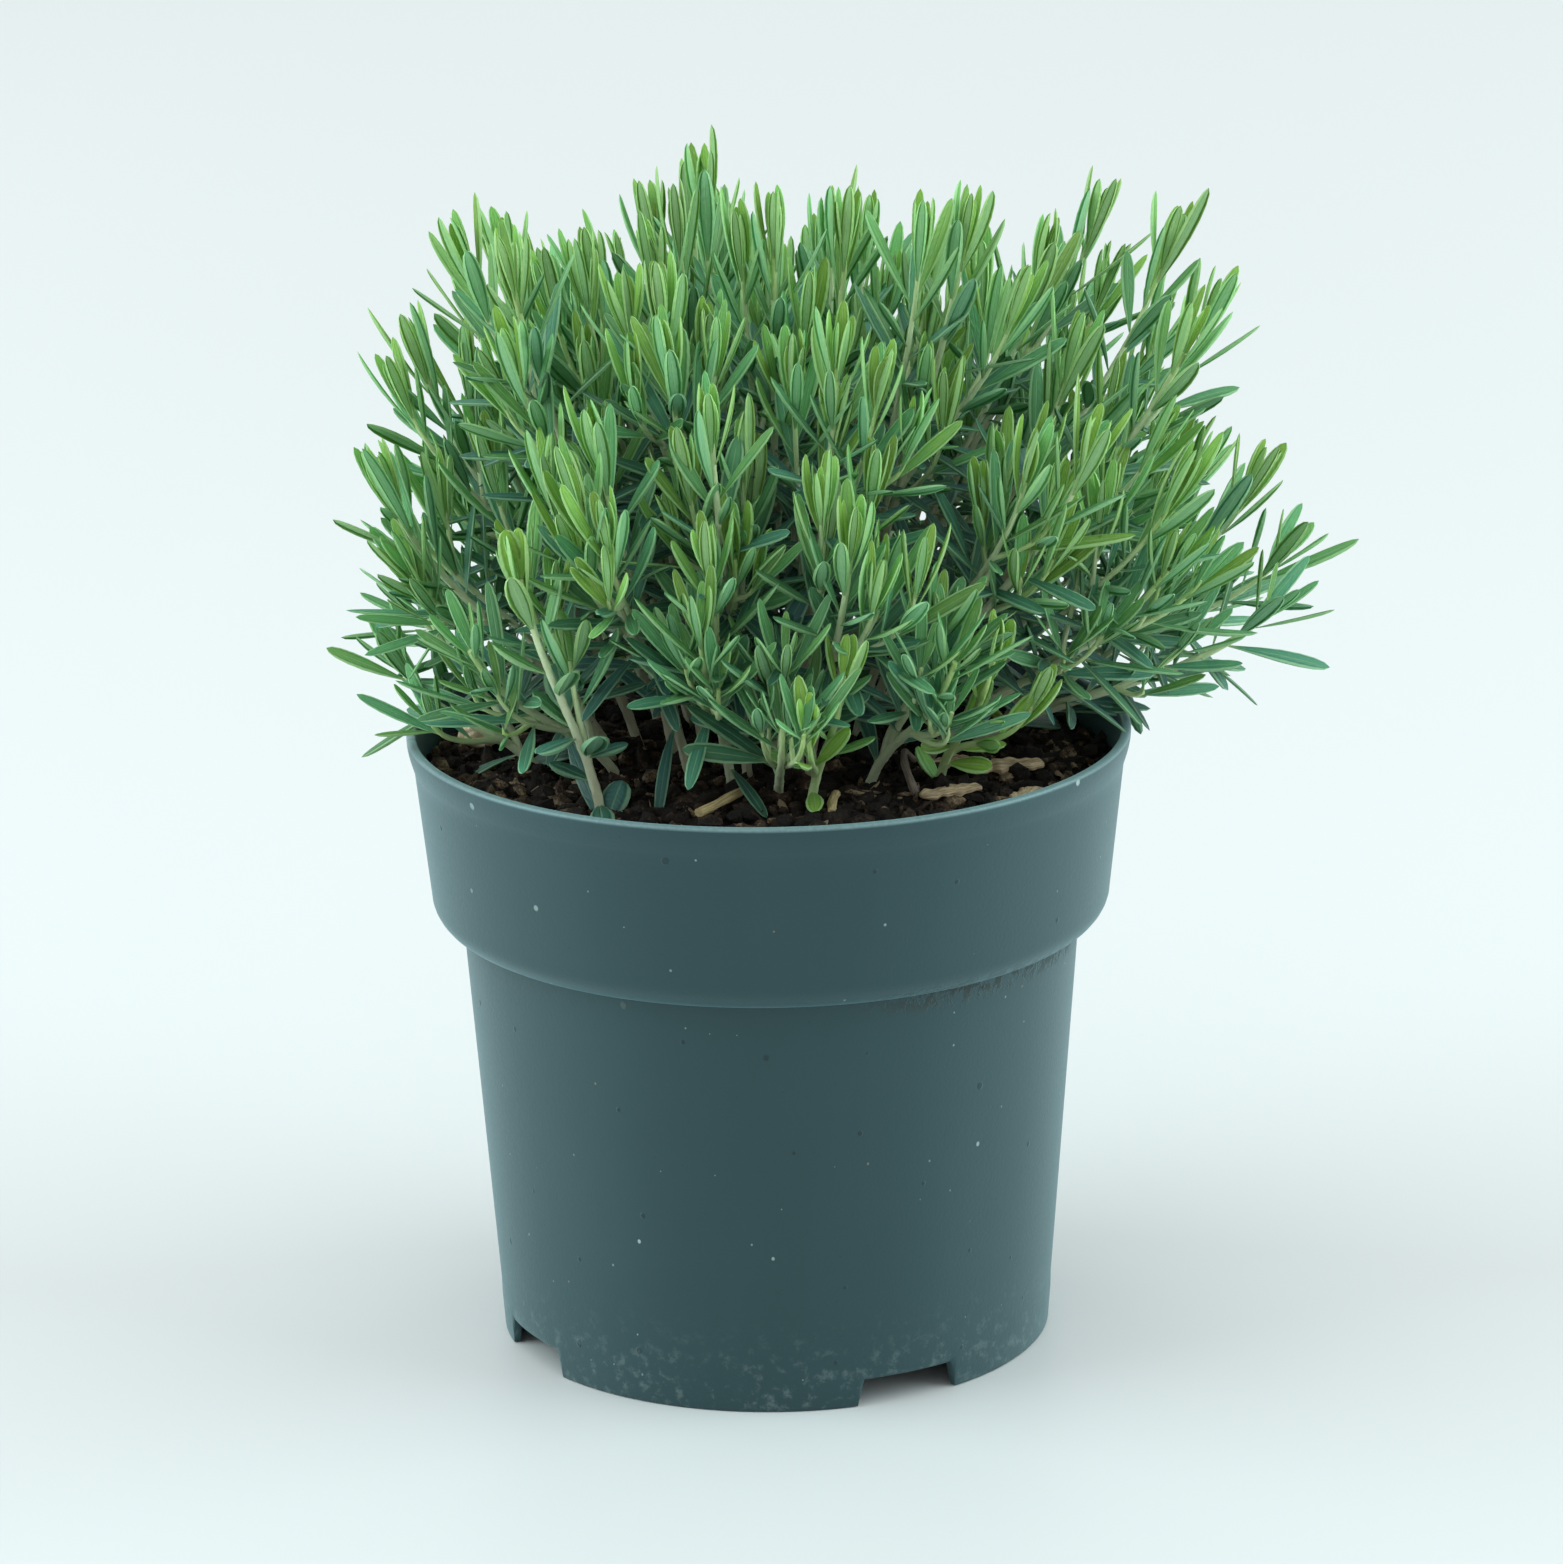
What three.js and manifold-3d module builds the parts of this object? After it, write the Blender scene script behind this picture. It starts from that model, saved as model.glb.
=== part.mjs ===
// A potted bog rosemary: a tapered nursery pot with a deep collar, filled with compost,
// and a dense mound of branches with narrow leathery leaves rooted in it.
// Units are millimetres, +Z is up, and the origin is the centre of the bounding box's underside.
import * as THREE from 'three'
import { mergeVertices } from 'three/addons/utils/BufferGeometryUtils.js'
import Module from 'manifold-3d'

// ---------------------------------------------------------------- pot sizes
const POT_HEIGHT = 112.4
const RIM_RADIUS = 65
const COLLAR_TAPER = 3.8 // how much narrower the collar is where it turns in
const COLLAR_STEP = 5.5 // how far it turns in
const BODY_TAPER = 5.9 // how much narrower the foot is than the body's top
const WALL = 1.1
const COLLAR_DROP = 29.5 // from the rim's top down to where the collar turns in
const COLLAR_TURN = 5.4 // height of the rounded turn from the collar to the body
const RIM_LIP = 0.6 // how far the collar flares out at the rim
const RIM_FLARE = 6 // height over which it flares
const FLOOR_UNDERSIDE = 6.6 // height of the raised floor above the surface the pot stands on
const FLOOR_THICKNESS = 1.2
const NOTCH_COUNT = 4
const NOTCH_HEIGHT = 5
const NOTCH_WIDTH = 17.5
const NOTCH_SLANT = 1.2 // how much wider a notch is at its foot, on each side
const NOTCH_TURN = -62 // degrees from +X of the first notch's middle
const DRAIN_RADIUS = 4 // of the drain holes in the floor
const DRAIN_SHARE = 0.66 // their distance from the axis, as a share of the foot's radius
const DRAIN_SIDES = 16
const POT_SEGMENTS = 44
const COLLAR_BOTTOM_RADIUS = RIM_RADIUS - COLLAR_TAPER
const BODY_TOP_RADIUS = COLLAR_BOTTOM_RADIUS - COLLAR_STEP
const FOOT_RADIUS = BODY_TOP_RADIUS - BODY_TAPER

// ---------------------------------------------------------------- compost sizes
const COMPOST_BELOW_RIM = 6.4
const COMPOST_LUMP = 1.1 // height of the crumbly surface's lumps
const COMPOST_EDGE_DIP = 2.2 // how far it has shrunk down beside the wall
const COMPOST_SEGMENTS = 32
const CLEARANCE = 0.3 // gap between pieces that touch

// ---------------------------------------------------------------- plant sizes
const BRANCH_COUNT = 38
const CROWN_RADIUS = 33 // half the width of the patch where the branches leave the compost
const CROWN_DEPTH = 0.85 // its depth from front to back, as a share of its width
const CROWN_SHIFT = 6 // its middle stands this far behind the pot's axis
const ROOT_DEPTH = 6 // length of each branch below the surface of the compost
const MOUND_HEIGHT = 93 // shoot tips above the compost, in the middle
const REACH_RIGHT = 94
const REACH_LEFT = 70
const REACH_BACK = 70
const REACH_FRONT = 58
const MOUND_ROUNDING = 4 // exponent of the mound's outline: 2 is an ellipse, more is boxier
const SHOULDER = 0.93 // share of the mound's height where its side starts
const SKIRT = 0.2 // share of the mound's height where its side ends
const SKIRT_ABOVE_RIM = 14 // lowest shoot tips above the pot's rim
const CROWN_SHARE = 0.25 // share of the shoots that end on the mound's top
const START_LEAN = 0.12 // how far out a shoot's first handle lies, as a share of its spread
const TIP_LEAN = 0.26 // how far in from its tip the last handle lies
const TIP_CLIMB = 0.3 // how far below its tip, as a share of its climb
const TIP_DROP = 6 // and this much more
const LEADER_RISE = 0.3 // height of a leader's first handle, as a share of its climb
const SHOOT_RISE = 0.35 // the same for a side shoot
const LEAST_RISE = 3
const FIRST_FORK = 0.06 // where side shoots leave the leader, as shares of its length
const FORK_STEP = 0.1
const FORK_SPREAD = 0.05
const FEWEST_SHOOTS = 3
const SHOOT_SPREAD = 0.5 // between a branch's tips, as a share of the branches' spacing
const SHORTEST_SHOOT = 0.75 // a shoot's length, as a share of the way to the mound's skin
const LONGEST_SHOOT = 0.97
const LEADER_RADIUS = 1.1
const SHOOT_RADIUS = 0.8
const LEAF_LENGTH = 18
const LEAF_WIDTH = 3.8 // a little broader than a living leaf, to stand for its neighbours too
const LEAF_THICKNESS = 1.1
const LEAF_SPACING = 3.3 // along the stem, between one leaf and the next
const LEAF_STRIDE = 5 // this plain solid carries one leaf of every so many
const LEAVES_PER_SHOOT = 4
const LEAFY_SHARE = 0.72 // share of a shoot that bears leaves
const ROSETTE = 6 // leaves crowded together at a shoot's tip
const CROWDING = 0.25 // their spacing, as a share of the other leaves'
const AGEING = 40 // distance from the tip where leaves are old
const WIDEST = 0.55 // share of a leaf's length where it is widest
const RIM_CLEARANCE = 1.2 // between the pot's wall and the shoots and leaves over it
const LOWEST_DROOP = 8 // how far below the rim a leaf outside the pot may hang
const POT_PROBES = 8 // stretches of a leaf or stem between the places tried against the pot

// Places where the mound stands higher or lower: x, y, height and width of each swelling.
const TUFTS = [
  { x: -47, y: -22, rise: 27, width: 14 },
  { x: -62, y: 0, rise: 12, width: 14 },
  { x: -9, y: 30, rise: 9, width: 18 },
  { x: 8, y: 14, rise: 16, width: 12 },
  { x: 0, y: -18, rise: 9, width: 11 },
  { x: 32, y: -19, rise: 17, width: 12 },
  { x: 69, y: 13, rise: 50, width: 18 },
  { x: 52, y: 17, rise: -16, width: 9 },
]

// Single sprigs at the edge: where each leaves the compost, as shares of the pot's inner
// radius, and where its shoots end, in millimetres from the pot's axis and the compost.
const SPRIGS = [
  { name: 'sprig_front_left', root: [-0.46, -0.56], tips: [[-42, -47, 46], [-34, -41, 30]] },
  { name: 'sprig_front_middle', root: [0.11, -0.45], tips: [[13, -50, 29], [7, -54, 20]] },
  { name: 'sprig_front_right', root: [0.47, -0.25], tips: [[39, -40, 29], [46, -35, 19]] },
  { name: 'sprig_right', root: [0.6, 0.12], tips: [[87, 15, 44], [92, 6, 34], [80, 22, 22]] },
  { name: 'sprig_left', root: [-0.62, -0.08], tips: [[-66, -10, 22], [-62, 4, 30], [-60, -20, 14]] },
]

const COLOURS = {
  pot: 0x3b5357,
  compost: 0x1e1712,
  leaf: 0x4e8a52,
  sprig: 0x6aa544,
  bark: 0x8a6f4e,
  straw: 0xb09559,
  twig: 0x77695c,
  sprout: 0x9fb53c,
  chunk: 0xd9c7a6,
}

const GOLDEN_ANGLE = Math.PI * (3 - Math.sqrt(5))
const COMPOST_TOP = POT_HEIGHT - COMPOST_BELOW_RIM
const UP = new THREE.Vector3(0, 0, 1)
const SLIVER = 0.002 // height of the flattest triangle that a joined solid may have
const JOIN_TRIES = 8
const GAP_STEPS = 6 // rounds of projection between two segments
const MERGE = 1e-3 // corners closer than this are one corner

const wasm = await Module()
wasm.setup()

// ---------------------------------------------------------------- helpers
// A repeatable number between 0 and 1 for the k-th choice about thing i.
function chance(i, k) {
  const v = Math.sin(i * 12.9898 + k * 78.233) * 43758.5453
  return v - Math.floor(v)
}

function material(colour, roughness = 0.8, metalness = 0) {
  return new THREE.MeshStandardMaterial({ color: colour, roughness, metalness })
}

function named(name, geometry, finish) {
  const mesh = new THREE.Mesh(geometry, finish)
  mesh.name = name
  return mesh
}

// three.js geometry to solid: only positions count, and shared corners are merged.
function toSolid(geometry) {
  const bare = geometry.clone()
  bare.deleteAttribute('normal')
  bare.deleteAttribute('uv')
  const merged = mergeVertices(bare, MERGE)
  return new wasm.Manifold(new wasm.Mesh({
    numProp: 3,
    vertProperties: new Float32Array(merged.attributes.position.array),
    triVerts: new Uint32Array(merged.index.array),
  }))
}

function toGeometry(solid) {
  const mesh = solid.getMesh()
  const geometry = new THREE.BufferGeometry()
  geometry.setAttribute('position', new THREE.BufferAttribute(mesh.vertProperties, 3))
  geometry.setIndex(new THREE.BufferAttribute(mesh.triVerts, 1))
  geometry.computeVertexNormals()
  return geometry
}

// Height of a solid's flattest triangle, over its longest side.
function thinnestFace(solid) {
  const mesh = solid.getMesh()
  const face = new THREE.Triangle()
  let thinnest = Infinity
  for (let k = 0; k < mesh.triVerts.length; k += 3) {
    const corners = [face.a, face.b, face.c]
    corners.forEach((corner, n) =>
      corner.fromArray(mesh.vertProperties, 3 * mesh.triVerts[k + n]))
    const sides = corners.map((corner, n) => corner.distanceTo(corners[(n + 1) % 3]))
    thinnest = Math.min(thinnest, (2 * face.getArea()) / Math.max(...sides))
  }
  return thinnest
}

// True where no two sheets of a solid touch along an edge: each edge has just two faces.
function isSimple(solid) {
  const merged = mergeVertices(toGeometry(solid).deleteAttribute('normal'), MERGE)
  const corners = merged.index.array
  const uses = new Map()
  for (let k = 0; k < corners.length; k++) {
    const next = k % 3 === 2 ? k - 2 : k + 1
    const edge = [corners[k], corners[next]].sort((a, b) => a - b).join()
    uses.set(edge, (uses.get(edge) ?? 0) + 1)
  }
  return [...uses.values()].every((count) => count === 2)
}

// Joins a piece to a solid. Where the two would meet in a sliver, or close a pocket between
// them, the piece is made again a little differently; make(k) gives its k-th version.
function join(solid, make) {
  for (let k = 0; k < JOIN_TRIES; k++) {
    const joined = solid.add(make(k))
    const whole = joined.decompose().length === 1
    if (whole && thinnestFace(joined) > SLIVER && isSimple(joined)) return joined
  }
  return solid
}

// Revolve a profile of [radius, height] points round the pot's axis.
function revolve(points, segments) {
  const outline = points.map(([r, z]) => new THREE.Vector2(r, z))
  return new THREE.LatheGeometry(outline, segments).rotateX(Math.PI / 2)
}

// A round bar of a given radius along a curve.
function bar(curve, radius, steps, sides = 4) {
  const section = new THREE.Shape()
  for (let k = 0; k < sides; k++) {
    const a = (k / sides) * 2 * Math.PI
    const point = [radius * Math.cos(a), radius * Math.sin(a)]
    if (k === 0) section.moveTo(...point)
    else section.lineTo(...point)
  }
  section.closePath()
  return new THREE.ExtrudeGeometry(section, { steps, extrudePath: curve, bevelEnabled: false })
}

// Shortest distance between segments a-b and c-d, found by alternating projection.
function segmentGap(a, b, c, d) {
  const ab = b.clone().sub(a)
  const cd = d.clone().sub(c)
  const along = (p, start, dir) =>
    THREE.MathUtils.clamp(p.clone().sub(start).dot(dir) / Math.max(dir.lengthSq(), 1e-9), 0, 1)
  let best = Infinity
  for (const first of [0, 0.5, 1]) {
    let s = first
    let t = 0
    for (let k = 0; k < GAP_STEPS; k++) {
      t = along(a.clone().addScaledVector(ab, s), c, cd)
      s = along(c.clone().addScaledVector(cd, t), a, ab)
    }
    const gap = a.clone().addScaledVector(ab, s).distanceTo(c.clone().addScaledVector(cd, t))
    best = Math.min(best, gap)
  }
  return best
}

// ---------------------------------------------------------------- pot
const collarTurnHeight = POT_HEIGHT - COLLAR_DROP
const bodyTopHeight = collarTurnHeight - COLLAR_TURN
const floorTop = FLOOR_UNDERSIDE + FLOOR_THICKNESS

// Outside radius of the pot at a height: tapered body, rounded turn, tapered collar.
function potRadius(z) {
  if (z <= bodyTopHeight) {
    return THREE.MathUtils.lerp(FOOT_RADIUS, BODY_TOP_RADIUS, z / bodyTopHeight)
  }
  if (z < collarTurnHeight) {
    const q = (collarTurnHeight - z) / COLLAR_TURN
    return BODY_TOP_RADIUS + (COLLAR_BOTTOM_RADIUS - BODY_TOP_RADIUS) * Math.sqrt(1 - q * q)
  }
  const share = (z - collarTurnHeight) / COLLAR_DROP
  return THREE.MathUtils.lerp(COLLAR_BOTTOM_RADIUS, RIM_RADIUS - RIM_LIP, share)
}

// Heights at which the wall's profile needs a point, from the floor up to the rim.
function wallHeights(from) {
  const turn = [1, 0.9, 0.65, 0.3, 0].map((q) => collarTurnHeight - q * COLLAR_TURN)
  return [from, ...turn]
}

function innerWall(from, inset) {
  return wallHeights(from).map((z) => [potRadius(z) - WALL - inset, z])
}

function makePot() {
  const flareFoot = POT_HEIGHT - RIM_FLARE
  const profile = [
    [0, FLOOR_UNDERSIDE],
    [potRadius(FLOOR_UNDERSIDE) - WALL, FLOOR_UNDERSIDE],
    [potRadius(0) - WALL, 0],
    ...wallHeights(0).map((z) => [potRadius(z), z]),
    [potRadius(flareFoot), flareFoot],
    [RIM_RADIUS, POT_HEIGHT - RIM_LIP / 2],
    [RIM_RADIUS - RIM_LIP / 2, POT_HEIGHT],
    [RIM_RADIUS - RIM_LIP - WALL, POT_HEIGHT],
    ...innerWall(floorTop, 0).reverse(),
    [0, floorTop],
  ]
  let pot = toSolid(revolve(profile, POT_SEGMENTS))
  for (let k = 0; k < NOTCH_COUNT; k++) {
    const turn = THREE.MathUtils.degToRad(NOTCH_TURN + (k * 360) / NOTCH_COUNT)
    pot = pot.subtract(toSolid(notchCutter().rotateZ(turn)))
    const bore = 4 * FLOOR_THICKNESS // longer than the floor is thick, to cut right through
    const drain = new THREE.CylinderGeometry(DRAIN_RADIUS, DRAIN_RADIUS, bore, DRAIN_SIDES)
    drain.rotateX(Math.PI / 2).translate(DRAIN_SHARE * FOOT_RADIUS, 0, FLOOR_UNDERSIDE)
    pot = pot.subtract(toSolid(drain.rotateZ(turn)))
  }
  return named('pot', toGeometry(pot), material(COLOURS.pot, 0.55))
}

// A wedge with slanted ends, pointing along +X through the foot's wall.
function notchCutter() {
  const half = NOTCH_WIDTH / 2
  const outline = new THREE.Shape([
    new THREE.Vector2(-half - NOTCH_SLANT, -1),
    new THREE.Vector2(half + NOTCH_SLANT, -1),
    new THREE.Vector2(half, NOTCH_HEIGHT),
    new THREE.Vector2(-half, NOTCH_HEIGHT),
  ])
  const depth = 20 // longer than the skirt is thick, to cut right through it
  const wedge = new THREE.ExtrudeGeometry(outline, { depth, bevelEnabled: false })
  return wedge.rotateX(Math.PI / 2).rotateZ(Math.PI / 2).translate(FOOT_RADIUS - depth / 2, 0, 0)
}

// ---------------------------------------------------------------- compost
const compostRadius = potRadius(COMPOST_TOP) - WALL - CLEARANCE

// Height of the compost's surface: level, with smooth lumps, sinking towards the wall.
function compostSurface(x, y) {
  const lumps = Math.sin(x * 0.21 + 1.3) * Math.sin(y * 0.24 + 0.4)
    + 0.6 * Math.sin(x * 0.47 + y * 0.33) + 0.5 * Math.sin(y * 0.58 - x * 0.41 + 2)
  const edge = Math.pow(Math.min(Math.hypot(x, y) / compostRadius, 1), 6)
  return COMPOST_TOP + (COMPOST_LUMP * lumps) / 2.1 * (1 - edge) - COMPOST_EDGE_DIP * edge
}

function makeCompost(sockets) {
  const bottom = floorTop + CLEARANCE
  const top = COMPOST_TOP - COMPOST_EDGE_DIP
  const rings = [1, 0.92, 0.78, 0.62, 0.42, 0.2] // shares of the radius
  const profile = [
    [0, bottom],
    ...innerWall(bottom, CLEARANCE),
    ...rings.map((share) => [share * (potRadius(top) - WALL - CLEARANCE), top]),
    [0, top],
  ]
  const geometry = revolve(profile, COMPOST_SEGMENTS)
  const place = geometry.attributes.position
  for (let k = 0; k < place.count; k++) {
    if (place.getZ(k) > top - MERGE) {
      place.setZ(k, compostSurface(place.getX(k), place.getY(k)))
    }
  }
  let compost = toSolid(geometry)
  for (const socket of sockets) compost = compost.subtract(toSolid(socket))
  return named('compost', toGeometry(compost), material(COLOURS.compost, 0.98))
}

// ---------------------------------------------------------------- growth plan
// A point of the mound's skin for a place in the unit disc (u, v). The middle of the disc is
// the mound's top, and the rest clothes its side evenly, from the shoulder to the skirt.
function moundPoint(u, v, shrink) {
  const share = Math.min(u * u + v * v, 1.1)
  const turn = Math.atan2(v, u)
  const shoulderReach = Math.pow(1 - Math.pow(SHOULDER, MOUND_ROUNDING), 1 / MOUND_ROUNDING)
  let out
  let height
  if (share < CROWN_SHARE) {
    out = shoulderReach * Math.sqrt(share / CROWN_SHARE)
    height = Math.pow(1 - Math.pow(out, MOUND_ROUNDING), 1 / MOUND_ROUNDING)
  } else {
    height = SHOULDER - (SHOULDER - SKIRT) * (share - CROWN_SHARE) / (1 - CROWN_SHARE)
    out = Math.pow(1 - Math.pow(height, MOUND_ROUNDING), 1 / MOUND_ROUNDING)
  }
  const across = Math.cos(turn) > 0 ? REACH_RIGHT : REACH_LEFT
  const deep = Math.sin(turn) > 0 ? REACH_BACK : REACH_FRONT
  const reach = 1 / Math.hypot(Math.cos(turn) / across, Math.sin(turn) / deep)
  const x = shrink * out * reach * Math.cos(turn)
  const y = shrink * out * reach * Math.sin(turn)
  let z = Math.max(shrink * height * MOUND_HEIGHT, COMPOST_BELOW_RIM + SKIRT_ABOVE_RIM)
  for (const tuft of TUFTS) {
    const off = Math.hypot(x - tuft.x, y - tuft.y) / tuft.width
    z += tuft.rise * height * Math.exp(-off * off)
  }
  return new THREE.Vector3(x, y, COMPOST_TOP + z)
}

// A shoot rises steeply, arches outwards and turns up again at its tip.
function shootCurve(start, tip, rise) {
  const across = new THREE.Vector3(tip.x - start.x, tip.y - start.y, 0)
  const climb = tip.z - start.z
  const first = start.clone().addScaledVector(across, START_LEAN).addScaledVector(UP, rise)
  const last = tip.clone().addScaledVector(across, -TIP_LEAN)
  last.addScaledVector(UP, -(TIP_CLIMB * climb + TIP_DROP))
  return new THREE.CubicBezierCurve3(start, first, last, tip)
}

// One branch: a leader from its root and side shoots that leave it low down.
function planBranch(name, number, x, y, tips) {
  const root = new THREE.Vector3(x, y, COMPOST_TOP - ROOT_DEPTH)
  const climb = tips[0].z - root.z
  const leader = shootCurve(root, tips[0], ROOT_DEPTH + LEADER_RISE * climb)
  const shoots = [{ curve: leader, radius: LEADER_RADIUS, seed: number * 10, steps: 5 }]
  for (let k = 1; k < tips.length; k++) {
    const fork = FIRST_FORK + FORK_STEP * (k + 1) + FORK_SPREAD * chance(number, 40 + k)
    const start = ontoStem(leader.getPoint(fork), shoots[0])
    const rise = Math.max(SHOOT_RISE * (tips[k].z - start.z), LEAST_RISE)
    const curve = shootCurve(start, tips[k], rise)
    shoots.push({ curve, radius: SHOOT_RADIUS, seed: number * 10 + k, steps: 3 })
  }
  return { name, number, shoots }
}

function planBranches() {
  const branches = []
  for (let i = 0; i < BRANCH_COUNT; i++) {
    const ring = Math.sqrt((i + 0.5) / BRANCH_COUNT)
    const turn = i * GOLDEN_ANGLE + 0.3 * (chance(i, 1) - 0.5)
    const u = ring * Math.cos(turn)
    const v = ring * Math.sin(turn)
    const count = FEWEST_SHOOTS + Math.round(chance(i, 2))
    const spread = SHOOT_SPREAD / Math.sqrt(BRANCH_COUNT)
    const tips = [moundPoint(u, v, 1 - 0.12 * chance(i, 3))]
    for (let k = 1; k < count; k++) {
      const swing = turn + (2 * Math.PI * (k + 0.6 * chance(i, 4))) / (count - 1)
      const shrink = LONGEST_SHOOT - (LONGEST_SHOOT - SHORTEST_SHOOT) * chance(i, 10 + k)
      tips.push(moundPoint(u + spread * Math.cos(swing), v + spread * Math.sin(swing), shrink))
    }
    const label = String(i + 1).padStart(2, '0')
    const y = CROWN_SHIFT + CROWN_DEPTH * CROWN_RADIUS * v
    branches.push(planBranch(`branch_${label}`, i, CROWN_RADIUS * u, y, tips))
  }
  SPRIGS.forEach((sprig, k) => {
    const tips = sprig.tips.map(([x, y, z]) => new THREE.Vector3(x, y, COMPOST_TOP + z))
    const [x, y] = sprig.root.map((share) => share * compostRadius)
    branches.push(planBranch(sprig.name, BRANCH_COUNT + k, x, y, tips))
  })
  return branches
}

// Leaf j of a shoot, counted from its tip: where it grows, where it points and how long it is.
function planLeaf(shoot, length, j) {
  const crowded = (1 - CROWDING) * ROSETTE
  const back = LEAF_SPACING * (j < ROSETTE ? CROWDING * j : j - crowded)
  if (back > LEAFY_SHARE * length) return null
  const t = 1 - back / length
  const base = shoot.curve.getPointAt(t)
  const stem = shoot.curve.getTangentAt(t)
  const side = new THREE.Vector3(-stem.y, stem.x, 0).normalize()
  const other = stem.clone().cross(side)
  const age = Math.min(back / AGEING, 1)
  const turn = j * GOLDEN_ANGLE + 6.28 * chance(shoot.seed, 5)
  const lean = 0.28 + 0.95 * Math.pow(age, 0.6) + 0.25 * (chance(shoot.seed, 20 + j) - 0.5)
  const aim = stem.clone().multiplyScalar(Math.cos(lean))
  aim.addScaledVector(side, Math.sin(lean) * Math.cos(turn))
  aim.addScaledVector(other, Math.sin(lean) * Math.sin(turn))
  aim.addScaledVector(UP, 0.35 - 0.5 * age).normalize()
  const grown = j < ROSETTE ? 0.45 + 0.08 * j : 0.92 + 0.2 * chance(shoot.seed, 60 + j)
  return { base, aim, size: LEAF_LENGTH * grown }
}

// A leaf as a thin double wedge, flat below and ridged above, widest past its middle. Its
// point is sunk into the stem by a given depth.
function leafSolid(leaf, sunk) {
  const across = leaf.aim.clone().cross(UP).normalize().multiplyScalar(LEAF_WIDTH / 2)
  const ridge = across.clone().cross(leaf.aim).normalize().multiplyScalar(LEAF_THICKNESS)
  const widest = leaf.base.clone().addScaledVector(leaf.aim, WIDEST * leaf.size)
  const corners = [
    leaf.base.clone().addScaledVector(leaf.aim, -sunk),
    leaf.base.clone().addScaledVector(leaf.aim, leaf.size),
    widest.clone().sub(across),
    widest.clone().add(across),
    widest.clone().add(ridge),
  ]
  const geometry = new THREE.BufferGeometry().setFromPoints(corners)
  geometry.setIndex([0, 2, 3, 1, 3, 2, 0, 4, 2, 0, 3, 4, 1, 2, 4, 1, 4, 3])
  return toSolid(geometry)
}

// True where a bar from a to b would touch the pot's wall or the compost.
function hitsPot(a, b, radius) {
  for (let k = 0; k <= POT_PROBES; k++) {
    const spot = a.clone().lerp(b, k / POT_PROBES)
    const out = Math.hypot(spot.x, spot.y)
    const margin = radius + RIM_CLEARANCE
    const overWall = out > compostRadius - margin && out < RIM_RADIUS + margin
    if (overWall && spot.z < POT_HEIGHT + margin) return true
    if (out <= compostRadius && spot.z < compostSurface(spot.x, spot.y) + radius) return true
    if (out >= RIM_RADIUS && spot.z < POT_HEIGHT - LOWEST_DROOP) return true
  }
  return false
}

// ---------------------------------------------------------------- building the plant
// Every bar and leaf already placed is a segment with a radius, and belongs to a branch. A
// leaf is flat, so its solid is kept too, for when it comes close to another leaf.
const placed = []

function isClear(a, b, radius, owner, solid) {
  return placed.every((other) => other.owner === owner
    || segmentGap(a, b, other.a, other.b) > radius + other.radius + CLEARANCE
    || (solid && other.solid && solid.intersect(other.solid).isEmpty()))
}

function claim(a, b, radius, owner, solid) {
  placed.push({ a, b, radius, owner, solid })
}

function stemSegments(shoot) {
  const points = shoot.curve.getSpacedPoints(shoot.steps)
  return points.slice(1).map((b, k) => [points[k], b])
}

// The nearest place to a point on the straight stretches that a shoot's bar is made of.
function ontoStem(point, shoot) {
  const nearest = stemSegments(shoot).map(([a, b]) =>
    new THREE.Line3(a, b).closestPointToPoint(point, true, new THREE.Vector3()))
  return nearest.reduce((best, spot) =>
    (spot.distanceTo(point) < best.distanceTo(point) ? spot : best))
}

// Side shoots that would touch a neighbour are left out.
function claimStems(branch) {
  branch.shoots = branch.shoots.filter((shoot, k) => {
    const segments = stemSegments(shoot)
    const clear = segments.every(([a, b]) => isClear(a, b, shoot.radius, branch.name))
    const free = segments.slice(1).every(([a, b]) => !hitsPot(a, b, shoot.radius))
    if (k > 0 && !(clear && free)) return false
    segments.forEach(([a, b]) => claim(a, b, shoot.radius, branch.name))
    return true
  })
}

function growBranch(branch) {
  const [leader, ...sideShoots] = branch.shoots
  let whole = toSolid(bar(leader.curve, leader.radius, leader.steps))
  for (const shoot of sideShoots) {
    whole = join(whole, (k) =>
      toSolid(bar(shoot.curve, shoot.radius * (1 - 0.02 * k), shoot.steps)))
  }
  for (const shoot of branch.shoots) {
    const length = shoot.curve.getLength()
    let grown = 0
    for (let j = 1; grown < LEAVES_PER_SHOOT; j += LEAF_STRIDE) {
      const leaf = planLeaf(shoot, length, j)
      if (!leaf) break
      grown += 1
      leaf.base = ontoStem(leaf.base, shoot)
      const end = leaf.base.clone().addScaledVector(leaf.aim, leaf.size)
      const half = LEAF_WIDTH / 2
      const blade = leafSolid(leaf, 0)
      if (hitsPot(leaf.base, end, half)) continue
      if (!isClear(leaf.base, end, half, branch.name, blade)) continue
      claim(leaf.base, end, half, branch.name, blade)
      whole = join(whole, (k) => leafSolid(leaf, 0.11 * k))
    }
  }
  const colour = branch.name.startsWith('sprig') ? COLOURS.sprig : COLOURS.leaf
  return named(branch.name, toGeometry(whole), material(colour, 0.6))
}

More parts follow.
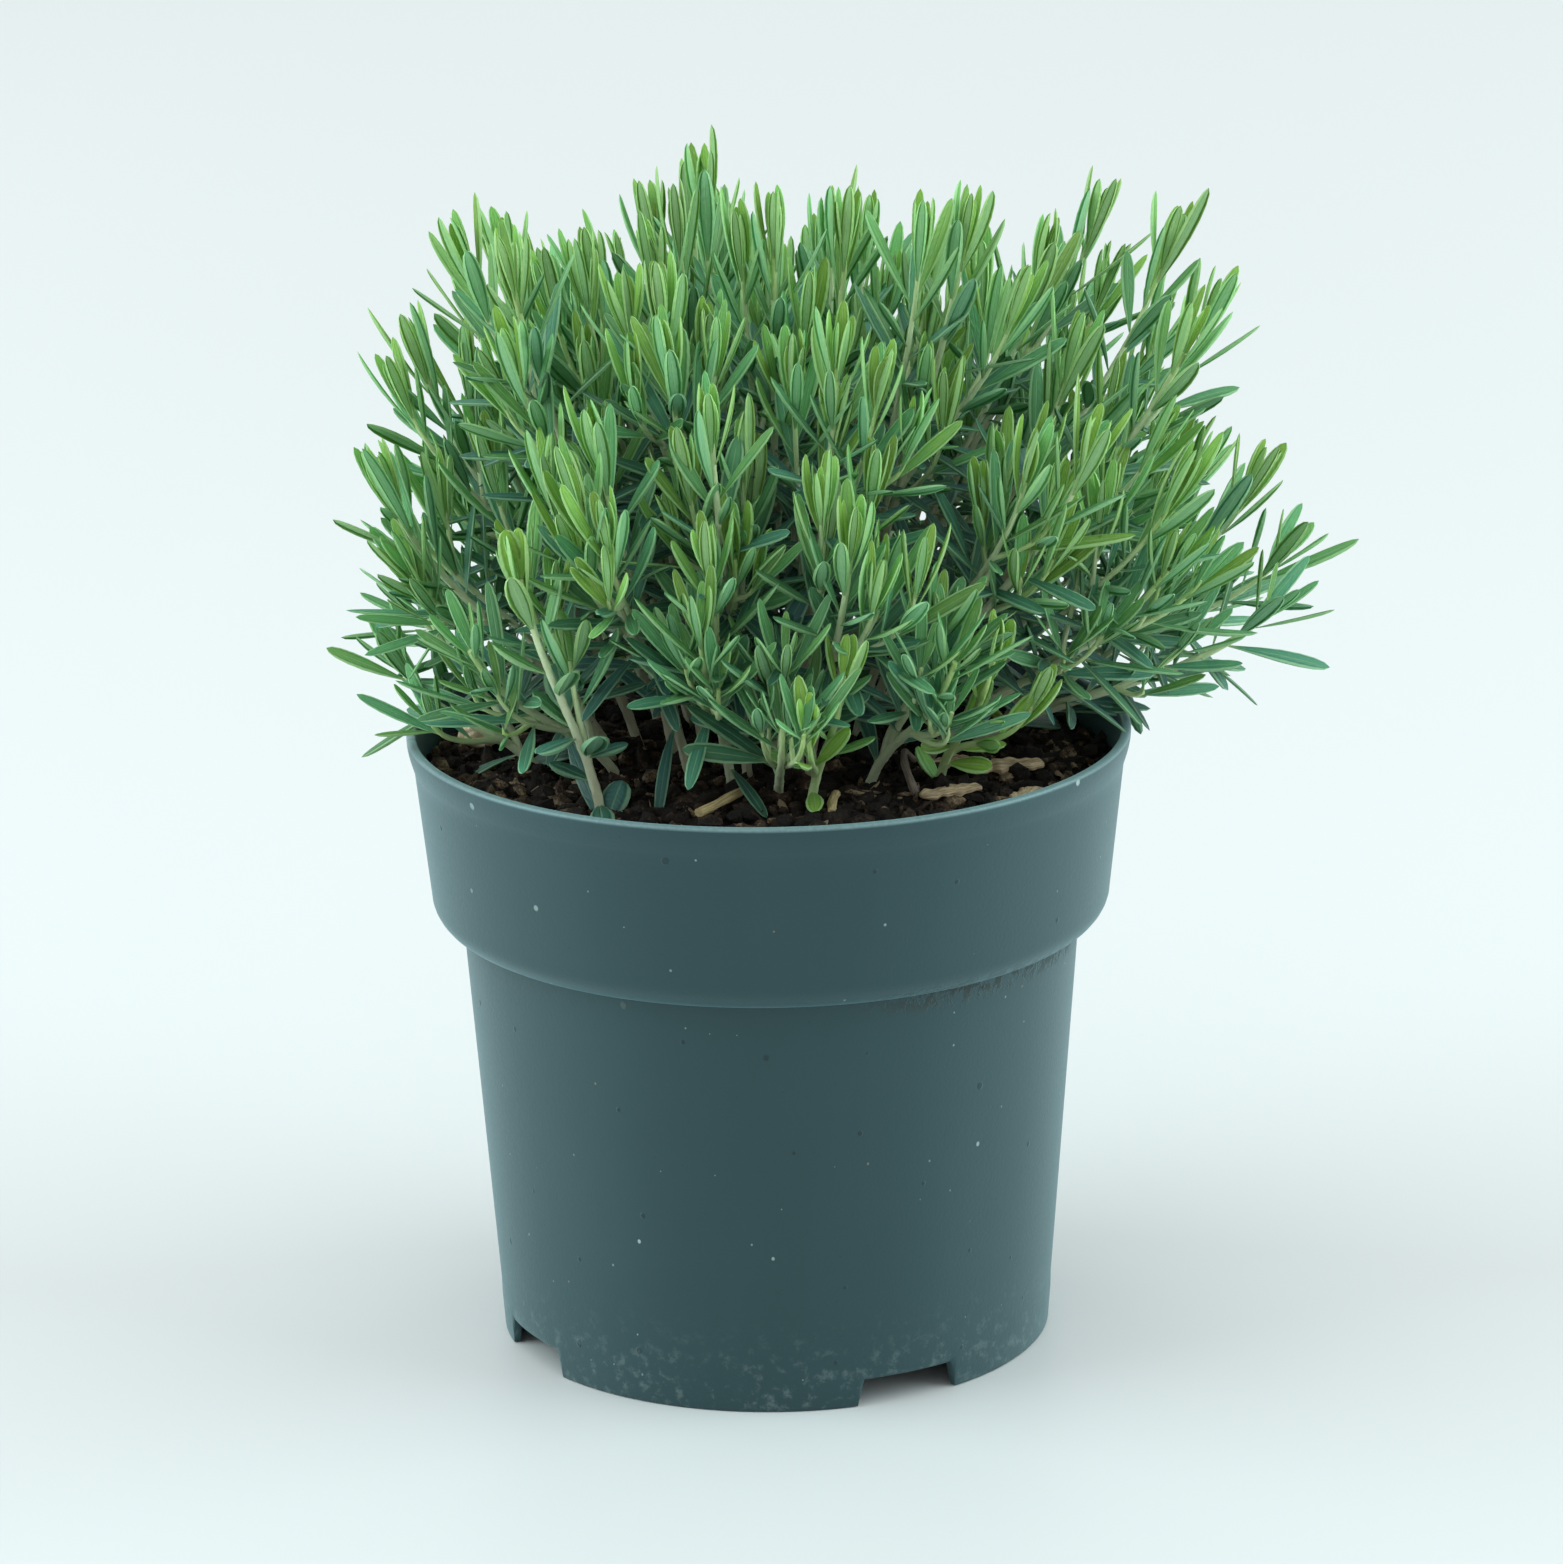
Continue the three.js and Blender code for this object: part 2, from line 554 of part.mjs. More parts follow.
// ---------------------------------------------------------------- litter on the compost
// Each piece of litter lies at a share of the compost's radius and a turn in degrees, and is
// spun about its own middle.
const BARK_CHIPS = [
  { share: 0.7, turn: -16, spin: 12, length: 15, width: 7, thickness: 2.2 },
  { share: 0.68, turn: -41, spin: 28, length: 13, width: 5, thickness: 1.8 },
  { share: 0.54, turn: -28, spin: 20, length: 9, width: 4.5, thickness: 2 },
  { share: 0.84, turn: -30, spin: 62, length: 9, width: 5, thickness: 1.6 },
  { share: 0.78, turn: 150, spin: 10, length: 11, width: 6, thickness: 2 },
]
const STRAWS = [
  { share: 0.53, turn: -104, spin: 58, length: 17, radius: 0.9 },
  { share: 0.58, turn: -72, spin: 85, length: 12, radius: 0.8 },
]
const TWIG = { share: 0.53, turn: -56, spin: 75, span: 11, rise: 7, radius: 0.8 }
const SPROUT = { share: 0.74, turn: 4, spin: 70, span: 11, rise: 5, radius: 1 }
const CHUNK = { share: 0.86, turn: 168, spin: 0, size: 5 }
const LAYING_TRIES = 60
const LAYING_STEP = 3 // degrees round the pot from one try to the next
const LAYING_REACH = 5 // the furthest that a piece of litter is lowered

// A piece of litter as a level bar, turned round the pot's axis by a number of degrees.
function litterBar(piece, length, radius, shift) {
  const turn = THREE.MathUtils.degToRad(piece.turn + shift)
  const spin = THREE.MathUtils.degToRad(piece.spin + shift)
  const out = piece.share * compostRadius
  const middle = new THREE.Vector3(out * Math.cos(turn), out * Math.sin(turn), 0)
  const half = new THREE.Vector3(Math.cos(spin), Math.sin(spin), 0).multiplyScalar(length / 2)
  let top = -Infinity
  for (let along = -1; along <= 1; along += 0.25) {
    for (let k = 0; k < 12; k++) {
      const around = (k / 12) * 2 * Math.PI
      const x = middle.x + along * half.x + radius * Math.cos(around)
      const y = middle.y + along * half.y + radius * Math.sin(around)
      top = Math.max(top, compostSurface(x, y))
    }
  }
  middle.z = top + CLEARANCE
  const lift = UP.clone().multiplyScalar(radius)
  const a = middle.clone().sub(half).add(lift)
  const b = middle.clone().add(half).add(lift)
  return { middle, spin, a, b }
}

// Lays a piece of litter in the first free place round the pot from its own, and lowers it
// onto the compost.
function layDown(name, piece, geometry, length, radius) {
  let place = litterBar(piece, length, radius, 0)
  for (let k = 1; k < LAYING_TRIES && !isClear(place.a, place.b, radius, name); k++) {
    const shift = LAYING_STEP * (k % 2 ? (k + 1) / 2 : -k / 2)
    place = litterBar(piece, length, radius, shift)
  }
  claim(place.a, place.b, radius, name)
  geometry.rotateZ(place.spin).translate(place.middle.x, place.middle.y, place.middle.z)
  const gap = toSolid(geometry).minGap(ground, LAYING_REACH)
  return geometry.translate(0, 0, CLEARANCE - gap)
}

// A torn flake: an uneven outline with a chamfered edge.
function makeBark(piece, number) {
  const name = `bark_chip_${number + 1}`
  const corners = 9
  const chamfer = 0.4
  const outline = []
  for (let k = 0; k < corners; k++) {
    const turn = (k / corners) * 2 * Math.PI
    const uneven = 0.82 + 0.3 * chance(number, 70 + k)
    const x = uneven * Math.cos(turn) * (piece.length / 2 - chamfer)
    const y = uneven * Math.sin(turn) * (piece.width / 2 - chamfer)
    outline.push(new THREE.Vector2(x, y))
  }
  const flake = new THREE.ExtrudeGeometry(new THREE.Shape(outline), {
    depth: piece.thickness - 2 * chamfer,
    bevelThickness: chamfer,
    bevelSize: chamfer,
    bevelSegments: 1,
  })
  flake.translate(0, 0, chamfer)
  const laid = layDown(name, piece, flake, piece.length - piece.width, piece.width / 2)
  return named(name, toGeometry(toSolid(laid)), material(COLOURS.bark, 0.9))
}

function makeStraw(piece, number) {
  const name = `straw_${number + 1}`
  const half = piece.length / 2
  const line = new THREE.LineCurve3(
    new THREE.Vector3(-half, 0, piece.radius), new THREE.Vector3(half, 0, piece.radius))
  const stalk = bar(line, piece.radius, 1, 8)
  const laid = layDown(name, piece, stalk, piece.length, piece.radius)
  return named(name, toGeometry(toSolid(laid)), material(COLOURS.straw, 0.8))
}

// A thin stalk whose two ends lie on the compost, arched or hooked between them.
function makeStalk(name, piece, bend, colour) {
  const half = piece.span / 2
  const arc = new THREE.CatmullRomCurve3([
    new THREE.Vector3(-half, -bend / 2, piece.radius),
    new THREE.Vector3(-0.3 * half, bend / 2, 0.75 * piece.rise),
    new THREE.Vector3(0.4 * half, bend / 2, piece.rise),
    new THREE.Vector3(half, -bend / 2, 0.55 * piece.rise),
  ])
  const stalk = bar(arc, piece.radius, 8, 6)
  const girth = Math.max(piece.rise, bend + 2 * piece.radius)
  const laid = layDown(name, piece, stalk, piece.span - piece.rise, girth / 2)
  return named(name, toGeometry(toSolid(laid)), material(colour, 0.7))
}

function makeChunk(name, piece) {
  const lump = new THREE.IcosahedronGeometry(piece.size, 1)
  lump.scale(0.8, 1, 0.62).translate(0, 0, 0.62 * piece.size)
  const laid = layDown(name, piece, lump, 0, piece.size)
  return named(name, toGeometry(toSolid(laid)), material(COLOURS.chunk, 0.9))
}

// ---------------------------------------------------------------- assembly
const branches = planBranches()
branches.forEach(claimStems)
const sockets = branches.map((branch) => {
  const { curve, radius, steps } = branch.shoots[0]
  return bar(curve, radius + CLEARANCE, steps)
})
const compost = makeCompost(sockets)
const ground = toSolid(compost.geometry)
const litter = [
  ...BARK_CHIPS.map(makeBark),
  ...STRAWS.map(makeStraw),
  makeStalk('twig', TWIG, 2, COLOURS.twig),
  makeStalk('sprout', SPROUT, 4, COLOURS.sprout),
  makeChunk('wood_chunk', CHUNK),
]
const plant = branches.map(growBranch)

const group = new THREE.Group()
group.add(makePot(), compost, ...plant, ...litter)

// The origin goes under the middle of the whole object's box.
const box = new THREE.Box3().setFromObject(group)
const middle = box.getCenter(new THREE.Vector3())
group.position.set(-middle.x, -middle.y, -box.min.z)
group.updateMatrixWorld(true)

export default group
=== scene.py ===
"""A potted bog rosemary: a dark nursery pot of compost with a dense mound of leathery leaves.

The pot, the compost and the plant are worked out in millimetres from the pot's axis and its foot,
and to_row() brings them into the model's own frame in metres. The stage, the finishes and the
litter, which starts from its solids' boxes, are in metres. The growth plan is the one that the
solid model follows, so each visible branch stands where its solid does. The pot's own box gives
the axis, the height and the rim's radius.
"""

import math

import bpy
import numpy as np
from mathutils import Matrix, Vector


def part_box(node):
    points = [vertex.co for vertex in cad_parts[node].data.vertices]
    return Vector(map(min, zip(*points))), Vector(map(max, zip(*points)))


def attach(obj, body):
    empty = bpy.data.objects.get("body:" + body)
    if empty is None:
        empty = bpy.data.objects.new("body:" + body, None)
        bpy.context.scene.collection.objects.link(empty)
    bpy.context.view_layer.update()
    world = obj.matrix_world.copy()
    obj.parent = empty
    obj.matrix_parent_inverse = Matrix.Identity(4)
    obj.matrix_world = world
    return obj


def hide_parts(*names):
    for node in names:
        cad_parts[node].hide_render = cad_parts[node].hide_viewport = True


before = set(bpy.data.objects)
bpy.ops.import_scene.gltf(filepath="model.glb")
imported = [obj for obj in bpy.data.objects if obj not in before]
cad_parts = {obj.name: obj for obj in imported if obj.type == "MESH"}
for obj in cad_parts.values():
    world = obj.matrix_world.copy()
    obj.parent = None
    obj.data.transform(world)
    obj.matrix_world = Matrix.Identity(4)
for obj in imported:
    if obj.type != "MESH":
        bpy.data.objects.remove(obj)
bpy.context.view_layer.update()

bl_info = {
    "name": "Potted Bog Rosemary",
    "version": (1, 0, 0),
    "blender": (4, 5, 0),
    "location": "View3D > Sidebar > Bog Rosemary",
    "description": "Builds a bog rosemary in a nursery pot from its growth plan",
    "category": "Add Mesh",
}

MM = 0.001
POT_LOW, POT_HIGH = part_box("pot")
AXIS = np.array([(POT_LOW.x + POT_HIGH.x) / 2, (POT_LOW.y + POT_HIGH.y) / 2, POT_LOW.z])
POT_HEIGHT_MM = (POT_HIGH.z - POT_LOW.z) / MM
RIM_RADIUS_MM = (POT_HIGH.x - POT_LOW.x) / 2 / MM
CLEARANCE = 0.3  # millimetres between the compost and the pot
GOLDEN_ANGLE = math.pi * (3 - math.sqrt(5))
UP = np.array([0.0, 0.0, 1.0])
BAKE_MAP = "OFBake"  # the map that a piece's finish is baked through
SHARP_ANGLE = math.radians(50)  # an edge that turns further than this shades as a crease


# ------------------------------------------------------------------ sizes and colours
def length_mm(name, description, default, low=0.0):
    return bpy.props.FloatProperty(name=name, description=description, default=default, min=low)


def colour(name, description, default):
    return bpy.props.FloatVectorProperty(
        name=name, description=description, default=default, subtype="COLOR", size=3, min=0, max=1)


class PotSettings(bpy.types.PropertyGroup):
    """Sizes of the nursery pot in millimetres, and its plastic."""

    collar_bottom_radius: length_mm("Collar Bottom", "Radius where the collar turns in", 61.2)
    body_top_radius: length_mm("Body Top", "Radius of the body under the collar", 55.7)
    foot_radius: length_mm("Foot", "Radius at the foot", 49.8)
    wall: length_mm("Wall", "Thickness of the wall", 1.1)
    collar_drop: length_mm("Collar Drop", "From the rim's top to the collar's turn", 29.5)
    collar_turn: length_mm("Collar Turn", "Height of the rounded turn", 5.4)
    rim_lip: length_mm("Rim Lip", "How far the collar flares out at the rim", 0.6)
    rim_flare: length_mm("Rim Flare", "Height over which it flares", 6.0)
    floor_underside: length_mm("Floor Underside", "Height of the raised floor", 6.6)
    floor_thickness: length_mm("Floor", "Thickness of the floor", 1.2)
    notch_height: length_mm("Notch Height", "Height of the drain notches", 5.0)
    notch_width: length_mm("Notch Width", "Width of a notch at its top", 17.5)
    notch_slant: length_mm("Notch Slant", "How much wider a notch is at its foot", 1.2)
    notch_turn: bpy.props.FloatProperty(
        name="Notch Turn", description="Place of the first notch round the pot",
        default=math.radians(-62), subtype="ANGLE")
    notch_count: bpy.props.IntProperty(
        name="Notches", description="Number of drain notches", default=4, min=1)
    drain_radius: length_mm("Drain Radius", "Radius of the floor's drain holes", 4.0)
    drain_ring: length_mm("Drain Ring", "Radius of the circle of drain holes", 33.0)
    plastic: colour("Plastic", "Dark petrol grey of the pot", (0.0085, 0.0195, 0.0215))


class PlantSettings(bpy.types.PropertyGroup):
    """How the plant grows, in millimetres, and its colours."""

    branch_count: bpy.props.IntProperty(
        name="Branches", description="Branches of the mound", default=38, min=1)
    leaf_length: length_mm("Leaf Length", "Length of a full-grown leaf", 18.0)
    leaf_width: length_mm("Leaf Width", "Width of a full-grown leaf", 2.75)
    leaf_spacing: length_mm("Leaf Spacing", "Along the stem from leaf to leaf", 2.6, 0.5)
    stem_radius: length_mm("Stem Radius", "Radius of a branch at its root", 0.95)
    shoot_radius: length_mm("Shoot Radius", "Radius of a side shoot at its fork", 0.7)
    young: colour("Young Leaf", "Yellow-green of the tips", (0.46, 0.80, 0.13))
    fresh: colour("Fresh Leaf", "Green of this year's leaves", (0.20, 0.56, 0.19))
    grown: colour("Grown Leaf", "Green of full-grown leaves", (0.085, 0.30, 0.19))
    # Old: the blue-green of old leaves, made darker to also paint the shade deep in the mound.
    old: colour("Old Leaf", "Blue-green of the lowest leaves", (0.050, 0.155, 0.145))
    underside: colour("Underside", "Pale bloom under the leaves", (0.40, 0.68, 0.47))
    # Rim: the paler colour of the rolled rims and midribs; on the rims it also stands in for a
    # painted highlight.
    rim: colour("Rim", "Pale rolled rims and midribs", (0.60, 0.90, 0.50))


class SoilSettings(bpy.types.PropertyGroup):
    """The compost's sizes in millimetres and its colours."""

    below_rim: length_mm("Below Rim", "Depth of the surface under the rim", 6.4)
    lump: length_mm("Lumps", "Height of the surface's broad lumps", 1.1)
    edge_dip: length_mm("Edge Dip", "How far it has sunk beside the wall", 2.2)
    crumbs: bpy.props.IntProperty(
        name="Crumbs", description="Loose crumbs on the surface", default=5200, min=0)
    dark: colour("Dark", "Damp peat", (0.009, 0.007, 0.006))
    warm: colour("Warm", "Dry peat fibre", (0.075, 0.045, 0.027))


class StageSettings(bpy.types.PropertyGroup):
    """The floor, the lights and the camera."""

    floor: colour("Floor", "Pale floor", (0.580, 0.600, 0.597))
    surround: colour("Surround", "Light from all round", (0.93, 0.965, 0.965))
    surround_strength: bpy.props.FloatProperty(
        name="Surround Strength", description="Strength of the light all round",
        default=0.91, min=0)
    key_power: bpy.props.FloatProperty(
        name="Key Power", description="Power of the large soft light above",
        default=2.2, min=0, subtype="POWER")
    side_power: bpy.props.FloatProperty(
        name="Side Power", description="Power of each large light at the sides",
        default=27.0, min=0, subtype="POWER")
    side_light: colour("Side Light", "Cool light from the sides", (0.80, 0.97, 1.0))
    lens: bpy.props.FloatProperty(
        name="Lens", description="Camera's focal length", default=154.69, unit="CAMERA")
    distance: bpy.props.FloatProperty(
        name="Distance", description="From the camera to its target",
        default=1.2087, unit="LENGTH")
    elevation: bpy.props.FloatProperty(
        name="Elevation", description="Angle above the floor that the camera looks down from",
        default=math.radians(16.475), subtype="ANGLE")
    roll: bpy.props.FloatProperty(
        name="Roll", description="Turn about the line of sight",
        default=math.radians(-0.78), subtype="ANGLE")


# ------------------------------------------------------------------ mesh helpers
def new_piece(name, points, faces, materials, smooth=True):
    """A mesh object from points in metres and faces, a (count, 3 or 4) array of corners."""
    mesh = bpy.data.meshes.new(name)
    faces = np.asarray(faces, np.int32)
    count, sides = faces.shape
    mesh.vertices.add(len(points))
    mesh.vertices.foreach_set("co", np.asarray(points, np.float32).ravel())
    mesh.loops.add(count * sides)
    mesh.loops.foreach_set("vertex_index", faces.ravel())
    mesh.polygons.add(count)
    mesh.polygons.foreach_set("loop_start", np.arange(0, count * sides, sides, dtype=np.int32))
    mesh.polygons.foreach_set("use_smooth", np.full(count, smooth))
    mesh.update(calc_edges=True)
    if smooth:
        mesh.set_sharp_from_angle(angle=SHARP_ANGLE)
    for material in materials:
        mesh.materials.append(material)
    piece = bpy.data.objects.new(name, mesh)
    bpy.context.scene.collection.objects.link(piece)
    return piece


def add_map(piece, name, corners):
    """Gives a piece a UV map from one (u, v) for each face corner."""
    layer = piece.data.uv_layers.new(name=name, do_init=False)
    layer.data.foreach_set("uv", np.asarray(corners, np.float32).ravel())


def add_values(piece, name, values):
    """Gives each point of a piece a number that its material reads."""
    attribute = piece.data.attributes.new(name, "FLOAT", "POINT")
    attribute.data.foreach_set("value", np.asarray(values, np.float32).ravel())


def grid_faces(rows, columns, closed_rows=False, closed_columns=False):
    """Quads of a grid of points numbered row by row, wrapped round where a direction closes."""
    r = np.arange(rows if closed_rows else rows - 1)
    c = np.arange(columns if closed_columns else columns - 1)
    r, c = (part.ravel() for part in np.meshgrid(r, c, indexing="ij"))
    r_next, c_next = (r + 1) % rows, (c + 1) % columns
    return np.stack([r * columns + c, r * columns + c_next,
                     r_next * columns + c_next, r_next * columns + c], 1)


def cap_faces(sides):
    """Quads that close a ring of an even number of points, row by row from one side of it."""
    k = np.arange(sides // 2 - 1)
    return np.stack([k, k + 1, sides - 2 - k, sides - 1 - k], 1)


def tube_faces(rows, columns):
    """Quads of a tube of rings, and of the caps that close its two ends."""
    caps = cap_faces(columns)
    return np.concatenate([grid_faces(rows, columns, closed_columns=True),
                           caps[:, ::-1], caps + (rows - 1) * columns])


def tube_corners(rows, columns):
    """The row of each corner of a tube's faces, and its place round the tube. Where a face
    closes the ring, the place goes on past the last column."""
    faces = tube_faces(rows, columns)
    row, place = faces // columns, (faces % columns).astype(float)
    ring = slice(0, (rows - 1) * columns)
    closing = (place[ring] == 0) & (place[ring, :1] == columns - 1)
    place[ring] = np.where(closing, columns, place[ring])
    return row, place


def unit(vectors):
    return vectors / np.maximum(np.linalg.norm(vectors, axis=-1, keepdims=True), 1e-12)


def chance(i, k):
    """Repeatable numbers between 0 and 1 for choice k about thing i."""
    value = np.sin(np.asarray(i, float) * 12.9898 + np.asarray(k, float) * 78.233) * 43758.5453
    return value - np.floor(value)


def to_row(points_mm):
    """Millimetres from the pot's axis and foot, as metres in the model's own frame."""
    return np.asarray(points_mm) * MM + AXIS


def ease(value, low, high):
    """0 up to low, 1 from high, and a smooth S between them."""
    t = np.clip((value - low) / (high - low), 0, 1)
    return t * t * (3 - 2 * t)


def ripple(points, wavelength, seed):
    """Soft noise between about -1 and 1: the sum of six pairs of sine waves. The two waves of a
    pair run in directions square to each other, and are multiplied."""
    total = 0
    turn = 2 * math.pi / wavelength
    for k in range(6):
        way = unit(np.array([chance(seed, k + 9 * axis) - 0.5 for axis in range(3)]))
        other = unit(np.cross(way, UP + 0.3))
        first = np.sin(points @ way * turn + 6 * chance(seed, k + 27))
        second = np.sin(points @ other * turn * 0.8 + 6 * chance(seed, k + 36))
        total = total + first * second
    return total / 2.4


# ------------------------------------------------------------------ shader helpers
class Value:
    """A shader socket that ordinary arithmetic works on. Each operation adds a Math node."""

    def __init__(self, shader, socket):
        self.shader = shader
        self.socket = socket

    def math(self, operation, *others):
        inputs = dict(enumerate([self, *others]))
        return self.shader.value("Math", {"operation": operation}, inputs)

    def __add__(self, other):
        return self.math("ADD", other)

    def __mul__(self, other):
        return self.math("MULTIPLY", other)

    def __sub__(self, other):
        return self.math("SUBTRACT", other)

    def __truediv__(self, other):
        return self.math("DIVIDE", other)

    def __rsub__(self, other):
        return self * -1 + other

    __radd__ = __add__
    __rmul__ = __mul__

    def smooth(self, low, high):
        """0 up to low, 1 from high, and a smooth S between them."""
        settings = {"interpolation_type": "SMOOTHSTEP"}
        inputs = {"Value": self, "From Min": low, "From Max": high}
        return self.shader.value("MapRange", settings, inputs)


class Shader:
    """A material being made. Every node comes from node(), and value() gives one of its outputs."""

    def __init__(self, name):
        self.material = bpy.data.materials.new(name)
        self.material.use_nodes = True
        self.tree = self.material.node_tree
        self.tree.nodes.clear()

    def node(self, kind, settings=None, inputs=None):
        made = self.tree.nodes.new("ShaderNode" + kind)
        settings = dict(settings or {})
        stops = settings.pop("stops", None)
        for key, setting in settings.items():
            setattr(made, key, setting)
        if stops:
            while len(made.color_ramp.elements) < len(stops):
                made.color_ramp.elements.new(1.0)
            for element, (place, tone) in zip(made.color_ramp.elements, stops):
                element.position = place
                element.color = (*tone, 1.0)
        for key, given in (inputs or {}).items():
            if isinstance(given, Value):
                self.tree.links.new(given.socket, made.inputs[key])
            elif isinstance(given, bpy.types.NodeSocket):
                self.tree.links.new(given, made.inputs[key])
            elif isinstance(given, tuple) and len(given) == 3 and made.inputs[key].type == "RGBA":
                made.inputs[key].default_value = (*given, 1.0)
            else:
                made.inputs[key].default_value = given
        return made

    def value(self, kind, settings=None, inputs=None, output=0):
        return Value(self, self.node(kind, settings, inputs).outputs[output])

    def mix(self, factor, first, second, blend="MIX"):
        """Mixes two colours; each is a Value or three numbers."""
        settings = {"data_type": "RGBA", "blend_type": blend}
        node = self.node("Mix", settings, {0: factor, 6: first, 7: second})
        return Value(self, node.outputs[2])

    def ramp(self, factor, stops):
        return self.value("ValToRGB", {"stops": stops}, {"Fac": factor})

    def places(self):
        """Places on the piece in the model's own frame, in metres."""
        return self.value("TexCoord", output="Object")

    def noise(self, vector, scale, detail=2.0, roughness=0.5, stretch=(1, 1, 1)):
        """Soft noise from 0 to 1, with features about 1 / scale of a metre across."""
        where = self.value("Mapping", None, {"Vector": vector, "Scale": stretch})
        inputs = {"Vector": where, "Scale": scale, "Detail": detail, "Roughness": roughness}
        return self.value("TexNoise", None, inputs)

    def attribute(self, name):
        return self.value("Attribute", {"attribute_name": name}, output="Fac")

    def map(self, name):
        """The two coordinates of a piece's own UV map."""
        where = self.value("UVMap", {"uv_map": name})
        parts = self.node("SeparateXYZ", None, {0: where})
        return Value(self, parts.outputs[0]), Value(self, parts.outputs[1])

    def specks(self, sheet, scale, size, share):
        """Round specks on a flat sheet in metres: how much of one is here, and its colour. A cell
        is 1 / scale of a metre across, and a share of the cells holds a speck."""
        inputs = {"Vector": sheet, "Scale": scale}
        cells = self.node("TexVoronoi", {"feature": "F1", "voronoi_dimensions": "2D"}, inputs)
        pick = self.node("SeparateColor", None, {0: Value(self, cells.outputs["Color"])})
        lot, kind, spread = (Value(self, pick.outputs[k]) for k in range(3))
        reach = Value(self, cells.outputs["Distance"]) / (0.5 + spread)
        here = (1 - reach.smooth(size, size * 1.8)) * lot.smooth(1 - share, 1.01 - share)
        tone = self.ramp(kind, [(0.0, (0.004, 0.006, 0.006)), (0.70, (0.006, 0.008, 0.008)),
                                (0.72, (0.16, 0.21, 0.20)), (0.93, (0.30, 0.36, 0.34)),
                                (0.95, (0.22, 0.10, 0.05)), (1.0, (0.20, 0.15, 0.09))])
        return here, tone

    def bump(self, height, distance, strength=1.0):
        inputs = {"Height": height, "Distance": distance, "Strength": strength}
        return self.value("Bump", None, inputs)

    def finish(self, base, roughness, normal, fixed=None, through=None, share=0.0):
        """A plastic, leaf or soil surface; share of it lets light of one colour through."""
        inputs = {"Base Color": base, "Roughness": roughness, "Normal": normal, **(fixed or {})}
        surface = self.node("BsdfPrincipled", None, inputs).outputs[0]
        if share:
            glow = self.node("BsdfTranslucent", None, {"Color": through}).outputs[0]
            surface = self.node("MixShader", None, {0: share, 1: surface, 2: glow}).outputs[0]
        self.node("OutputMaterial", None, {"Surface": surface})
        return self.material


# ------------------------------------------------------------------ shared outline of the pot
class PotShape:
    """The pot's outline in millimetres from its axis and foot."""

    def __init__(self, sizes):
        self.sizes = sizes
        self.turn_height = POT_HEIGHT_MM - sizes.collar_drop
        self.body_top = self.turn_height - sizes.collar_turn
        self.floor_top = sizes.floor_underside + sizes.floor_thickness

    def radius(self, z):
        """Outside radius at a height: tapered body, quarter-round turn, tapered collar."""
        z = np.asarray(z, float)
        sizes = self.sizes
        grow = sizes.collar_bottom_radius - sizes.body_top_radius
        body = sizes.foot_radius + (sizes.body_top_radius - sizes.foot_radius) * z / self.body_top
        q = np.clip((self.turn_height - z) / sizes.collar_turn, 0, 1)
        turn = sizes.body_top_radius + grow * np.sqrt(1 - q * q)
        share = (z - self.turn_height) / sizes.collar_drop
        top = RIM_RADIUS_MM - sizes.rim_lip
        collar = sizes.collar_bottom_radius + (top - sizes.collar_bottom_radius) * share
        return np.where(z <= self.body_top, body, np.where(z < self.turn_height, turn, collar))


class Compost:
    """The compost's surface in millimetres from the pot's axis and foot."""

    def __init__(self, pot, sizes):
        self.top = POT_HEIGHT_MM - sizes.below_rim
        self.sizes = sizes
        self.radius = float(pot.radius(self.top)) - pot.sizes.wall - CLEARANCE

    def height(self, x, y):
        """Level, plus sine lumps that fade towards the wall, where the surface dips."""
        lumps = (np.sin(x * 0.21 + 1.3) * np.sin(y * 0.24 + 0.4)
                 + 0.6 * np.sin(x * 0.47 + y * 0.33) + 0.5 * np.sin(y * 0.58 - x * 0.41 + 2))
        edge = np.minimum(np.hypot(x, y) / self.radius, 1) ** 6
        return (self.top + self.sizes.lump * lumps / 2.1 * (1 - edge) - self.sizes.edge_dip * edge)


def shapes(scene):
    pot = PotShape(scene.bog_pot)
    return pot, Compost(pot, scene.bog_soil)


# ------------------------------------------------------------------ growth plan
CROWN_RADIUS = 33.0  # half the width of the patch where the branches leave the compost
CROWN_DEPTH = 0.85  # its depth from front to back, as a share of its width
CROWN_SHIFT = 6.0  # its middle stands this far behind the pot's axis
ROOT_DEPTH = 6.0  # length of each branch below the compost's surface
MOUND_HEIGHT = 93.0  # shoot tips above the compost, in the middle
REACH_RIGHT = 94.0
REACH_LEFT = 70.0
REACH_BACK = 70.0
REACH_FRONT = 58.0
ROUNDING = 4.0  # exponent of the mound's outline: 2 is an ellipse, more is boxier
SHOULDER = 0.93  # share of the mound's height where its side starts
SKIRT = 0.2  # share of the mound's height where its side ends
SKIRT_ABOVE_RIM = 14.0  # lowest shoot tips above the pot's rim
CROWN_SHARE = 0.25  # share of the shoots that end on the mound's top
START_LEAN = 0.12  # how far out a shoot's first handle lies, as a share of its spread
TIP_LEAN = 0.26  # how far in from its tip the last handle lies
TIP_CLIMB = 0.3  # how far below its tip, as a share of its climb
TIP_DROP = 6.0  # and this much more
LEADER_RISE = 0.3  # height of a leader's first handle, as a share of its climb
SHOOT_RISE = 0.35  # the same for a side shoot
LEAST_RISE = 3.0
FIRST_FORK = 0.16  # where side shoots leave the leader, as shares of its curve
FORK_STEP = 0.1
FORK_SPREAD = 0.05
FEWEST_SHOOTS = 3
SHOOT_SPREAD = 0.5  # between a branch's tips, as a share of the branches' spacing
LEADER_SHORTFALL = 0.12  # how far at most a leader stops short of the mound's skin
LONGEST_SHOOT = 0.97  # a side shoot's length, as a share of the way to the mound's skin
